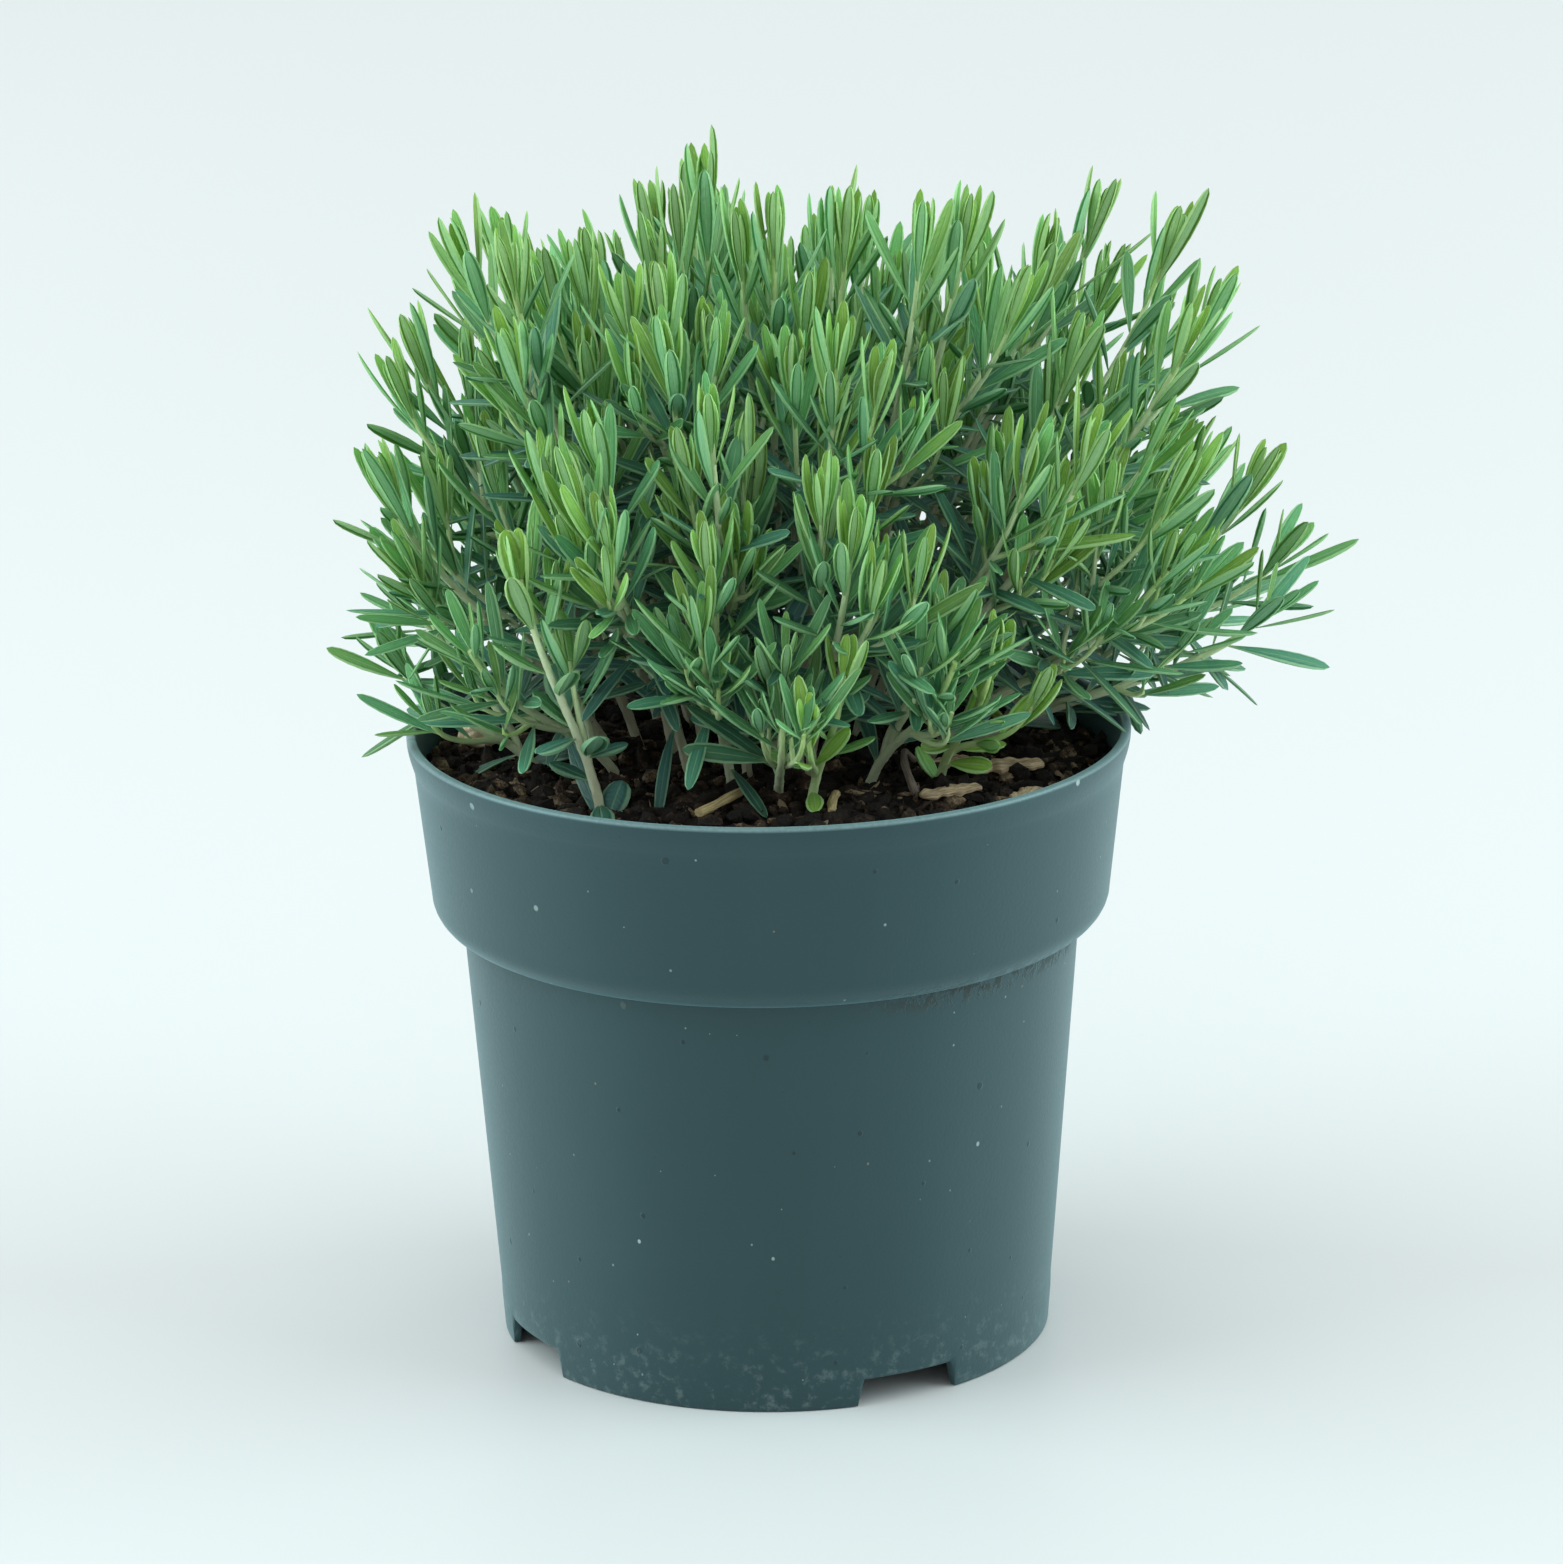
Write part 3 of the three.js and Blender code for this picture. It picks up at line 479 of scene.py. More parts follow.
SHOOT_SHORTFALL = 0.22
RIM_CLEARANCE = 1.2  # between the pot's wall and the shoots and leaves over it
CURVE_STEPS = 201  # places along a shoot where its length is measured
TWIGS = 1  # short twigs on each shoot of the mound
TWIG_PLACE = 0.52  # where the first one leaves the shoot, as a share of its length
TWIG_STEP = 0.13
TWIG_SPREAD = 0.1
TWIG_SHARE = 0.30  # a twig's reach, as a share of its shoot's length
TWIG_REACH = 22.0  # and at most this
TWIG_THICKNESS = 0.8  # its radius, as a share of a side shoot's

# Where the mound stands higher or lower: x, y, rise and width.
TUFTS = [(-47, -22, 27, 14), (-62, 0, 12, 14), (-9, 30, 9, 18), (8, 14, 16, 12), (0, -18, 9, 11),
         (32, -19, 17, 12), (69, 13, 50, 18), (52, 17, -16, 9)]

# Sprigs at the edge: root as shares of the compost's radius, tips above the compost, how broad
# and how young their leaves are, and how much further apart they grow.
SPRIGS = [
    ("sprig_front_left", (-0.46, -0.56), [(-42, -47, 46), (-34, -41, 30)], 1.7, 0.1, 1.8),
    ("sprig_front_middle", (0.11, -0.45), [(13, -50, 29), (7, -54, 20)], 1.15, 0.75, 2.1),
    ("sprig_front_right", (0.47, -0.25), [(39, -40, 29), (46, -35, 19)], 1.15, 0.85, 2.1),
    ("sprig_right", (0.6, 0.12), [(87, 15, 44), (92, 6, 34), (80, 22, 22)], 1.1, 0.0, 1.3),
    ("sprig_left", (-0.62, -0.08), [(-66, -10, 22), (-62, 4, 30), (-60, -20, 14)], 1.1, 0.1, 1.3),
]


class Shoot:
    """A stem along a cubic curve of four points, in millimetres."""

    def __init__(self, points, radius, seed, broad=1.0, youth=0.0, apart=1.0):
        self.points = np.array(points)
        self.apart = apart
        self.radius = radius
        self.seed = seed
        self.broad = broad
        self.youth = youth
        table = self.at(np.linspace(0, 1, CURVE_STEPS))
        steps = np.linalg.norm(np.diff(table, axis=0), axis=1)
        self.along = np.concatenate([[0], np.cumsum(steps)])
        self.length = self.along[-1]

    def at(self, t):
        """Places on the curve for an array of its own parameter."""
        t = np.asarray(t, float)[..., None]
        a, b, c, d = self.points
        return (1 - t) ** 3 * a + 3 * t * (1 - t) ** 2 * b + 3 * t * t * (1 - t) * c + t ** 3 * d

    def spaced(self, share):
        """Places and directions at shares of the stem's length."""
        t = np.interp(np.asarray(share) * self.length, self.along, np.linspace(0, 1, CURVE_STEPS))
        a, b, c, d = self.points
        s = t[..., None]
        slope = (1 - s) ** 2 * (b - a) + 2 * s * (1 - s) * (c - b) + s * s * (d - c)
        return self.at(t), unit(slope)


def mound_point(compost, u, v, shrink):
    """Where the shoot for place (u, v) of the unit disc ends on the mound's rounded-box skin."""
    share = min(u * u + v * v, 1.1)
    turn = math.atan2(v, u)
    if share < CROWN_SHARE:
        shoulder_reach = (1 - SHOULDER ** ROUNDING) ** (1 / ROUNDING)
        out = shoulder_reach * math.sqrt(share / CROWN_SHARE)
        height = (1 - out ** ROUNDING) ** (1 / ROUNDING)
    else:
        height = SHOULDER - (SHOULDER - SKIRT) * (share - CROWN_SHARE) / (1 - CROWN_SHARE)
        out = (1 - height ** ROUNDING) ** (1 / ROUNDING)
    across = REACH_RIGHT if math.cos(turn) > 0 else REACH_LEFT
    deep = REACH_BACK if math.sin(turn) > 0 else REACH_FRONT
    reach = 1 / math.hypot(math.cos(turn) / across, math.sin(turn) / deep)
    x = shrink * out * reach * math.cos(turn)
    y = shrink * out * reach * math.sin(turn)
    z = max(shrink * height * MOUND_HEIGHT, compost.sizes.below_rim + SKIRT_ABOVE_RIM)
    for tuft_x, tuft_y, rise, width in TUFTS:
        off = math.hypot(x - tuft_x, y - tuft_y) / width
        z += rise * height * math.exp(-off * off)
    return np.array([x, y, compost.top + z])


def shoot_points(start, tip, rise):
    """A shoot rises steeply, arches outwards and turns up again at its tip."""
    across = np.array([tip[0] - start[0], tip[1] - start[1], 0])
    climb = tip[2] - start[2]
    first = start + START_LEAN * across + rise * UP
    last = tip - TIP_LEAN * across - (TIP_CLIMB * climb + TIP_DROP) * UP
    return [start, first, last, tip]


def plan_branch(plant, compost, number, x, y, tips, kind=(1.0, 0.0, 1.0)):
    """A leader from its root, and side shoots that leave it low down."""
    root = np.array([x, y, compost.top - ROOT_DEPTH])
    climb = tips[0][2] - root[2]
    points = shoot_points(root, tips[0], ROOT_DEPTH + LEADER_RISE * climb)
    leader = Shoot(points, plant.stem_radius, number * 10, *kind)
    shoots = [leader]
    for k in range(1, len(tips)):
        fork = FIRST_FORK + FORK_STEP * k + FORK_SPREAD * float(chance(number, 40 + k))
        start = leader.at(fork)
        rise = max(SHOOT_RISE * (tips[k][2] - start[2]), LEAST_RISE)
        points = shoot_points(start, tips[k], rise)
        shoots.append(Shoot(points, plant.shoot_radius, number * 10 + k, *kind))
    return shoots


def plan_twig(plant, shoot, m):
    """A short twig from the upper part of a shoot, leaning out from it and turning up."""
    share = TWIG_PLACE + TWIG_STEP * m + TWIG_SPREAD * float(chance(shoot.seed, 300 + m))
    places, stems = shoot.spaced(np.array([share]))
    place, stem = places[0], stems[0]
    side = unit(np.array([-stem[1], stem[0], 0.0]))
    other = np.cross(stem, side)
    turn = 2 * math.pi * float(chance(shoot.seed, 310 + m))
    out = math.cos(turn) * side + math.sin(turn) * other
    reach = min(TWIG_SHARE * shoot.length, TWIG_REACH)
    reach *= 0.7 + 0.5 * float(chance(shoot.seed, 320 + m))
    tip = place + reach * (0.62 * stem + 0.50 * out + 0.30 * UP)
    points = [place, place + 0.4 * reach * (0.6 * stem + 0.6 * out), tip - 0.35 * reach * UP, tip]
    seed = shoot.seed + 0.31 + 0.27 * m
    return Shoot(points, TWIG_THICKNESS * plant.shoot_radius, seed, shoot.broad * 0.92)


def plan_plant(plant, compost):
    """Every branch's name and shoots. Roots and tips follow a sunflower spiral over a disc."""
    branches = []
    count = plant.branch_count
    for i in range(count):
        ring = math.sqrt((i + 0.5) / count)
        turn = i * GOLDEN_ANGLE + 0.3 * (float(chance(i, 1)) - 0.5)
        u, v = ring * math.cos(turn), ring * math.sin(turn)
        shoots = FEWEST_SHOOTS + math.floor(float(chance(i, 2)) + 0.5)
        spread = SHOOT_SPREAD / math.sqrt(count)
        tips = [mound_point(compost, u, v, 1 - LEADER_SHORTFALL * float(chance(i, 3)))]
        for k in range(1, shoots):
            swing = turn + 2 * math.pi * (k + 0.6 * float(chance(i, 4))) / (shoots - 1)
            shrink = LONGEST_SHOOT - SHOOT_SHORTFALL * float(chance(i, 10 + k))
            tips.append(mound_point(compost, u + spread * math.cos(swing),
                                    v + spread * math.sin(swing), shrink))
        y = CROWN_SHIFT + CROWN_DEPTH * CROWN_RADIUS * v
        planned = plan_branch(plant, compost, i, CROWN_RADIUS * u, y, tips)
        planned += [plan_twig(plant, shoot, m) for shoot in planned for m in range(TWIGS)]
        branches.append((f"branch_{i + 1:02d}", planned))
    for k, (name, root, tips, *kind) in enumerate(SPRIGS):
        ends = [np.array([x, y, compost.top + z]) for x, y, z in tips]
        x, y = (share * compost.radius for share in root)
        planned = plan_branch(plant, compost, count + k, x, y, ends, kind)
        branches.append((name, planned))
    return branches


def depth_in_pot(points, radius, pot, compost):
    """How far points with a radius round them reach into the pot's wall or the compost."""
    out = np.hypot(points[..., 0], points[..., 1])
    z = points[..., 2]
    margin = radius + RIM_CLEARANCE
    over_wall = (out > compost.radius - margin) & (out < RIM_RADIUS_MM + margin)
    wall = np.where(over_wall, POT_HEIGHT_MM + margin - z, 0)
    soil = compost.height(points[..., 0], points[..., 1]) + radius - z
    soil = np.where(out <= compost.radius, soil, 0)
    return np.maximum(np.maximum(wall, soil), 0)


# ------------------------------------------------------------------ leaves
LEAF_STATIONS = np.array([0, 0.14, 0.32, 0.52, 0.70, 0.85, 0.95, 1.0])
# The blade's section, from one edge to the other over the top and back underneath, where the
# rolled margins hang below a sunken panel with its midrib.
LEAF_ACROSS = np.array([-1, -0.58, 0, 0.58, 1, 0.80, 0.56, 0, -0.56, -0.80])
LEAF_RISE = np.array([-0.05, 0.12, -0.03, 0.12, -0.05, -0.34, -0.08, -0.17, -0.08, -0.34])
LEAF_UPPER = np.array([1, 1, 1, 1, 1, 0, 0, 0, 0, 0])
LEAF_FULLNESS = 1.15  # how much deeper the section is than those numbers
WIDEST = 0.60  # share of the length where a leaf is widest
AROUND = len(LEAF_ACROSS)
LEAF_PROBES = np.array([0.35, 0.7, 1.0])  # shares of a leaf that are kept clear of the pot
MOST_LEAVES = 400  # on one shoot
SPARSE = 1.5  # a sprig whose leaves grow this much further apart has its own habits
CROWDED_LEAVES = 5  # in the rosette at a shoot's tip
SPARSE_ROSETTE = 3  # the same on a sparse sprig
CROWDING = 0.32  # their spacing, as a share of the other leaves'
LEAFY_SHARE = 0.78  # share of a shoot's length that bears leaves
SPARSE_LEAFY_SHARE = 0.94
AGEING = 40.0  # distance from the tip where leaves are old
SHADED_BELOW = 22.0  # shoots whose tips stand lower than this above the compost are shaded
LIT_ABOVE = 50.0  # and those that stand higher than this aren't
RAISING_TRIES = 7  # times that a leaf over the pot is tipped up to clear it
HANG_CLEARANCE = 6.0  # a leaf tip lower than this above the compost hangs over it
SHED_FROM = -14.0  # to the right of this, nearly all the hanging leaves at the front are shed
SHED_BEHIND = 5.0  # and behind this, none are


def leaf_outline(s):
    """Half width along a leaf: a sine rise from a narrow foot, then a blunt rounded tip."""
    foot = 0.17 + 0.83 * np.sin(math.pi / 2 * np.minimum(s / WIDEST, 1)) ** 1.15
    tip = np.sqrt(np.maximum(1 - (np.maximum(s - WIDEST, 0) / (1 - WIDEST)) ** 2.3, 0))
    return np.maximum(foot * tip, 0.05)


def leaf_mesh(leaves):
    """Points, faces and values of many leaves at once. Each centre line is a parabola, and the
    section is carried along it, scaled by the outline, with a slow twist about the line."""
    s = LEAF_STATIONS[None, :, None]
    size, width = leaves["size"][:, None, None], leaves["width"][:, None, None]
    aim, normal = leaves["aim"][:, None, :], leaves["normal"][:, None, :]
    bend = leaves["bend"][:, None, None]
    centre = leaves["base"][:, None, :] + size * (s * aim + bend * s * s * normal)
    along = unit(aim + 2 * bend * s * normal)
    over = unit(normal - 2 * bend * s * aim)
    side = np.cross(along, over)
    twist = leaves["twist"][:, None, None] * s
    c, n = np.cos(twist), np.sin(twist)
    side, over = side * c + over * n, over * c - side * n
    half = (width / 2 * leaf_outline(s))[..., None]
    across = (half * LEAF_ACROSS[None, None, :, None]) * side[:, :, None, :]
    rise = (half * LEAF_RISE[None, None, :, None] * LEAF_FULLNESS) * over[:, :, None, :]
    points = centre[:, :, None, :] + across + rise
    faces = tube_faces(len(LEAF_STATIONS), AROUND)
    start = np.arange(len(points))[:, None, None] * len(LEAF_STATIONS) * AROUND
    return points.reshape(-1, 3), (faces[None] + start).reshape(-1, 4)


def plan_leaves(plant, shoot, pot, compost):
    """All the leaves of one shoot, from its tip down: crowded and upright in the tip's rosette,
    then a golden angle apart, leaning out further and further with age. Low shoots are shaded,
    so their leaves are older and hang. Many that would hang low at the front have been shed."""
    sparse = shoot.apart >= SPARSE
    crowd = SPARSE_ROSETTE if sparse else CROWDED_LEAVES
    leafy = SPARSE_LEAFY_SHARE if sparse else LEAFY_SHARE
    j = np.arange(MOST_LEAVES)
    steps = np.where(j < crowd, CROWDING * j, j - (1 - CROWDING) * crowd)
    back = plant.leaf_spacing * shoot.apart * steps
    j = j[back <= leafy * shoot.length]
    back = back[: len(j)]
    base, stem = shoot.spaced(1 - back / shoot.length)
    side = unit(np.stack([-stem[:, 1], stem[:, 0], np.zeros(len(j))], 1))
    other = np.cross(stem, side)
    # Leaves of shaded low shoots count as older, so they hang lower and take the darker old colour,
    # which partly paints the shade low in the mound.
    shade = 1 - ease(shoot.points[3][2] - compost.top, SHADED_BELOW, LIT_ABOVE)
    shade *= 1 - min(1.6 * shoot.youth, 1)
    age = np.clip(back / AGEING + 0.30 * shade, 0, 1)
    turn = j * GOLDEN_ANGLE + 6.28 * chance(shoot.seed, 5)
    lean = 0.15 + 0.95 * age ** 0.75 + 0.34 * (chance(shoot.seed, 20 + j) - 0.5)
    out = np.cos(turn)[:, None] * side + np.sin(turn)[:, None] * other
    aim = np.cos(lean)[:, None] * stem + np.sin(lean)[:, None] * out
    aim = unit(aim + (0.35 - (0.55 + 0.35 * shade) * age)[:, None] * UP)
    grown = np.where(j < crowd, 0.50 + 0.09 * j, 0.78 + 0.34 * chance(shoot.seed, 60 + j))
    size = plant.leaf_length * grown
    if sparse:
        size *= 1 - 0.50 * np.clip(back / 26, 0, 1)
    slim = 0.62 + 0.38 * np.minimum(j / 8, 1)
    width = plant.leaf_width * slim * (0.8 + 0.5 * chance(shoot.seed, 90 + j)) * shoot.broad
    for _ in range(RAISING_TRIES):
        spots = base[:, None] + size[:, None, None] * aim[:, None] * LEAF_PROBES[:, None]
        deep = depth_in_pot(spots, 1.0, pot, compost).max(1)
        aim = unit(aim + 0.3 * (deep > 0)[:, None] * UP)
    tip = spots[:, -1]
    hangs = tip[:, 2] - compost.top - HANG_CLEARANCE < 0.3 * np.maximum(-tip[:, 1], 0)
    shed = np.where(tip[:, 0] > SHED_FROM, 0.98, 0.60) * (tip[:, 1] < SHED_BEHIND) * (not sparse)
    keep = (deep <= 0) & ~(hangs & (chance(shoot.seed, 250 + j) < shed))
    normal = stem + 0.45 * age[:, None] * UP
    normal = unit(normal - (normal * aim).sum(1, keepdims=True) * aim)
    bend = 0.11 - 0.30 * age + 0.20 * (chance(shoot.seed, 130 + j) - 0.5)
    leaves = {
        "base": base + 0.6 * shoot.radius * out,
        "aim": aim,
        "normal": normal,
        "size": size,
        "width": width,
        "bend": bend,
        "twist": 1.1 * (chance(shoot.seed, 170 + j) - 0.5),
        "age": np.clip(age * (1 - shoot.youth) - 0.1 * shoot.youth, 0, 1),
        "tint": chance(shoot.seed, 210 + j),
    }
    return {key: part[keep] for key, part in leaves.items()}


# ------------------------------------------------------------------ stems
STEM_SIDES = 8
STEM_TAPER = 0.45  # share of its thickness that a stem loses by its tip
STEM_POINT = 0.02  # radius of its closed ends
STEM_STEP = 1.1  # between rings of a stem, in millimetres
STEM_BAND = 0.18  # share of a branch's bake map that its stems take
LEAF_CELL_SHAPE = 2.2  # how many times longer than broad a leaf's cell of the bake map is


def stem_mesh(plant, shoot):
    """A tapered tube along a shoot: circles square to the curve, swollen a little at each leaf
    scar, drawn in to a point at both ends."""
    rings = max(int(shoot.length / STEM_STEP), 6)
    share = np.concatenate([[0], np.linspace(0, 1, rings), [1]])
    centre, stem = shoot.spaced(share)
    side = unit(np.stack([-stem[:, 1], stem[:, 0], np.zeros(len(share))], 1))
    other = np.cross(stem, side)
    back = (1 - share) * shoot.length
    scar = np.cos(2 * math.pi * (back / plant.leaf_spacing - 0.5))
    radius = shoot.radius * (1 - STEM_TAPER * share) * (1 + 0.10 * np.maximum(scar, 0) ** 2)
    radius[[0, -1]] = STEM_POINT
    turn = np.linspace(0, 2 * math.pi, STEM_SIDES, endpoint=False)
    lump = 1 + 0.05 * np.sin(3 * turn[None, :] + back[:, None] * 0.9 + shoot.seed)
    spoke = (radius[:, None] * lump)[..., None] * (
        np.cos(turn)[None, :, None] * side[:, None] + np.sin(turn)[None, :, None] * other[:, None])
    return (centre[:, None] + spoke).reshape(-1, 3), share, back


def leaf_cells(count):
    """The maps of a branch's leaves: the blade's own (across, along), and a cell for each leaf
    in the part of the bake's map above the stems' band, with a margin round it."""
    row, place = tube_corners(len(LEAF_STATIONS), AROUND)
    along = LEAF_STATIONS[row]
    across = np.interp(place % AROUND, np.arange(AROUND), LEAF_ACROSS) * 0.5 + 0.5
    blade = np.tile(np.stack([across, along], -1).reshape(-1, 2), (count, 1))
    columns = max(int(math.sqrt(count * LEAF_CELL_SHAPE)), 1)
    rows = math.ceil(count / columns)
    number = np.arange(count)[:, None, None]
    cell_x = number % columns + 0.06 + 0.88 * (place / AROUND)[None]
    cell_y = number // columns + 0.03 + 0.94 * along[None]
    cells = np.stack([cell_x / columns, STEM_BAND + (1 - STEM_BAND) * cell_y / rows], -1)
    return blade, cells.reshape(-1, 2)


def grow_branch(plant, name, shoots, pot, compost, materials):
    """One branch as one piece: every leaf and every shoot's tube, with the values and maps that
    their finishes read."""
    leaf_sets = [plan_leaves(plant, shoot, pot, compost) for shoot in shoots]
    leaves = {key: np.concatenate([part[key] for part in leaf_sets]) for key in leaf_sets[0]}
    count = len(leaves["size"])
    leaf_points, leaf_faces = leaf_mesh(leaves)
    per_leaf = len(LEAF_STATIONS) * AROUND
    leaf_blade, leaf_places = leaf_cells(count)
    points, faces, blade, cells = [leaf_points], [leaf_faces], [leaf_blade], [leaf_places]
    values = {
        "age": [np.repeat(leaves["age"], per_leaf)],
        "tint": [np.repeat(leaves["tint"], per_leaf)],
        "upper": [np.tile(LEAF_UPPER, count * len(LEAF_STATIONS))],
    }
    total = len(leaf_points)
    slots = [np.zeros(len(leaf_faces), np.int32)]
    for k, shoot in enumerate(shoots):
        tube, share, back = stem_mesh(plant, shoot)
        quads = tube_faces(len(share), STEM_SIDES)
        points.append(tube)
        faces.append(quads + total)
        total += len(tube)
        old = np.clip(back / 60 + 0.1, 0, 1) * (1 - 0.7 * shoot.youth)
        values["age"].append(np.repeat(old, STEM_SIDES))
        values["tint"].append(np.full(len(tube), float(chance(shoot.seed, 3))))
        values["upper"].append(np.ones(len(tube)))
        row, place = tube_corners(len(share), STEM_SIDES)
        blade.append(np.stack([place / STEM_SIDES, share[row]], -1).reshape(-1, 2))
        band = (k + 0.08 + 0.84 * place / STEM_SIDES) / len(shoots) * STEM_BAND
        cells.append(np.stack([0.004 + 0.992 * share[row], band], -1).reshape(-1, 2))
        slots.append(np.ones(len(quads), np.int32))
    places = to_row(np.concatenate(points))
    piece = new_piece(name + "_grown", places, np.concatenate(faces), materials)
    piece.data.polygons.foreach_set("material_index", np.concatenate(slots))
    add_map(piece, "blade", np.concatenate(blade))
    add_map(piece, BAKE_MAP, np.concatenate(cells))
    for key, parts in values.items():
        add_values(piece, key, np.concatenate(parts))
    return piece


def leaf_finish(plant):
    """A leathery leaf: green by age, darkest on the oldest and lowest leaves, partly their own
    colour and partly painted shade deep in the mound; a pale midrib; pale rims, partly their own
    colour and partly a painted highlight; fine net veins; painted shade in the grooves beside the
    rims on top; and underneath a paler panel with a painted shadow line where the rolled margins
    hang over it."""
    s = Shader("leaf")
    age, tint, upper = s.attribute("age"), s.attribute("tint"), s.attribute("upper")
    u, along = s.map("blade")
    across = (u * 2 - 1).math("ABSOLUTE")
    where = s.places()
    tones = [(0.0, tuple(plant.young)), (0.24, tuple(plant.fresh)),
             (0.58, tuple(plant.grown)), (1.0, tuple(plant.old))]
    mottle = s.noise(where, 350.0, 3.0)
    aged = age + (tint - 0.5) * 0.34 + (mottle - 0.5) * 0.16 - along * 0.05
    green = s.ramp(aged, tones)
    level = 0.48 + tint * 0.62
    shade = s.value("CombineColor", None, {0: level, 1: level, 2: level})
    bright = s.mix(1.0, green, shade, "MULTIPLY")
    panel = 1 - upper
    bloom = s.mix(0.42, bright, tuple(plant.underside))
    skin = s.mix(panel * (1 - across.smooth(0.48, 0.56)), bright, bloom)
    # Painted shadow: a dark line on the underside where the rolled margins hang over the panel, and
    # painted shade in the groove beside each rim on top.
    overhang_shadow = panel * across.smooth(0.48, 0.56) * (1 - across.smooth(0.66, 0.74))
    gutter_shade = upper * across.smooth(0.46, 0.60) * (1 - across.smooth(0.66, 0.78)) * 0.5
    shaded = s.mix(1.0, skin, (0.30, 0.38, 0.34), "MULTIPLY")
    skin = s.mix(overhang_shadow * 0.9 + gutter_shade, skin, shaded)
    rib = (1 - across.smooth(0.03, 0.12)) * (1 - along.smooth(0.82, 0.97))
    # The pale rim is partly the margin's own paler colour and partly a painted highlight along the
    # rolled edge; the midrib's pale line is its own colour.
    rim = across.smooth(0.70, 0.80)
    pale = s.mix(0.58 - age * 0.28, bright, tuple(plant.rim))
    skin = s.mix(rib * 0.6 + rim * 0.8, skin, pale)
    foot = 1 - along.smooth(0.0, 0.14)
    skin = s.mix(foot * 0.6, skin, (0.48, 0.62, 0.30))
    net = s.noise(where, 1500.0, 2.0, 0.6)
    skin = s.mix((net - 0.5) * 0.5 + 0.12, skin, s.mix(1.0, skin, (0.62, 0.66, 0.62), "MULTIPLY"))
    veins = (along * 62 + across * 9).math("SINE") * 0.5 + 0.5
    height = veins * 0.25 * (1 - rib) - rib * 0.9 * upper + rib * 0.8 * panel + net * 0.6
    normal = s.bump(height, 0.00016, 0.8)
    rough = 0.47 + (net - 0.5) * 0.14 + panel * 0.10
    fixed = {"Specular IOR Level": 0.42}
    return s.finish(skin, rough, normal, fixed, (0.30, 0.66, 0.10), 0.22)


def stem_finish():
    """Young stems are pale green, older ones cream to tan, with darker bark at the root."""
    s = Shader("stem")
    age, tint = s.attribute("age"), s.attribute("tint")
    where = s.places()
    streak = s.noise(where, 700.0, 3.0, 0.6, (1, 1, 0.25))
    tones = [(0.0, (0.48, 0.70, 0.24)), (0.35, (0.60, 0.74, 0.44)),
             (0.75, (0.62, 0.68, 0.46)), (1.0, (0.50, 0.48, 0.33))]
    skin = s.ramp(age + (tint - 0.5) * 0.2 + (streak - 0.5) * 0.3, tones)
    fine = s.noise(where, 2600.0, 2.0)
    skin = s.mix(fine * 0.35, skin, s.mix(1.0, skin, (0.6, 0.6, 0.58), "MULTIPLY"))
    normal = s.bump(streak + fine * 0.5, 0.0002, 0.7)
    return s.finish(skin, 0.58 + (fine - 0.5) * 0.1, normal, None, (0.38, 0.52, 0.14), 0.06)


# ------------------------------------------------------------------ pot
HUB = 0.05  # radius of the small caps that close the pot and the compost at the axis
RIM_ROUND = 0.5  # height of the rim's rounded top
FLOOR_FILLET = 1.2  # where the floor meets the wall inside, and a smaller one underneath
UNDER_FILLET = 0.8
POT_COLUMNS = 360
LEAST_COLUMN = 0.004  # even columns closer than this angle to a notch's end are left out


def pot_profile(pot):
    """The pot's closed section as (radius, height), from the underside's middle, round the foot,
    up the outside, over the rounded rim, down the inside and back to the floor's middle."""
    sizes = pot.sizes
    flare_foot = POT_HEIGHT_MM - sizes.rim_flare
    turn = pot.turn_height - sizes.collar_turn * np.cos(np.linspace(0, math.pi / 2, 9))
    outer_z = np.concatenate([np.linspace(0, pot.body_top, 28), turn,
                              np.linspace(pot.turn_height, flare_foot, 12)[1:]])
    outer = np.stack([pot.radius(outer_z), outer_z], 1)
    rim = RIM_RADIUS_MM
    lip = sizes.rim_lip
    top = np.linspace(0, math.pi, 9)
    thick = (lip + sizes.wall) / 2
    round_over = np.stack([rim - thick + thick * np.cos(top),
                           POT_HEIGHT_MM - RIM_ROUND + RIM_ROUND * np.sin(top)], 1)
    flare_z = np.linspace(flare_foot, POT_HEIGHT_MM - RIM_ROUND, 8)[1:-1]
    spread = ease(flare_z, flare_foot - 1.0, POT_HEIGHT_MM - RIM_ROUND)
    flare_r = pot.radius(flare_z)
    flare = np.stack([flare_r + (rim - flare_r) * spread, flare_z], 1)
    inner_z = outer_z[outer_z > pot.floor_top + 1.5][::-1]
    inner = np.stack([pot.radius(inner_z) - sizes.wall, inner_z], 1)
    inner[:, 0] = np.minimum(inner[:, 0], rim - lip - sizes.wall)
    floor_edge = float(pot.radius(pot.floor_top)) - sizes.wall - FLOOR_FILLET
    floor = [(floor_edge, pot.floor_top), (HUB, pot.floor_top)]
    under = sizes.floor_underside
    skirt_radius = float(pot.radius(under)) - sizes.wall
    skirt = [(HUB, under), (skirt_radius - UNDER_FILLET, under),
             (skirt_radius, under - UNDER_FILLET), (float(pot.radius(0)) - sizes.wall, 0.0)]
    return np.concatenate([skirt, outer, flare, round_over, inner, floor])


def foot_lift(pot, turn):
    """Height of the foot's edge round the pot: 0, or a notch's height between slanted ends."""
    sizes = pot.sizes
    pitch = 2 * math.pi / sizes.notch_count
    off = np.abs((turn - sizes.notch_turn + pitch / 2) % pitch - pitch / 2) * sizes.foot_radius
    half = sizes.notch_width / 2
    return sizes.notch_height * np.clip((half + sizes.notch_slant - off) / sizes.notch_slant, 0, 1)


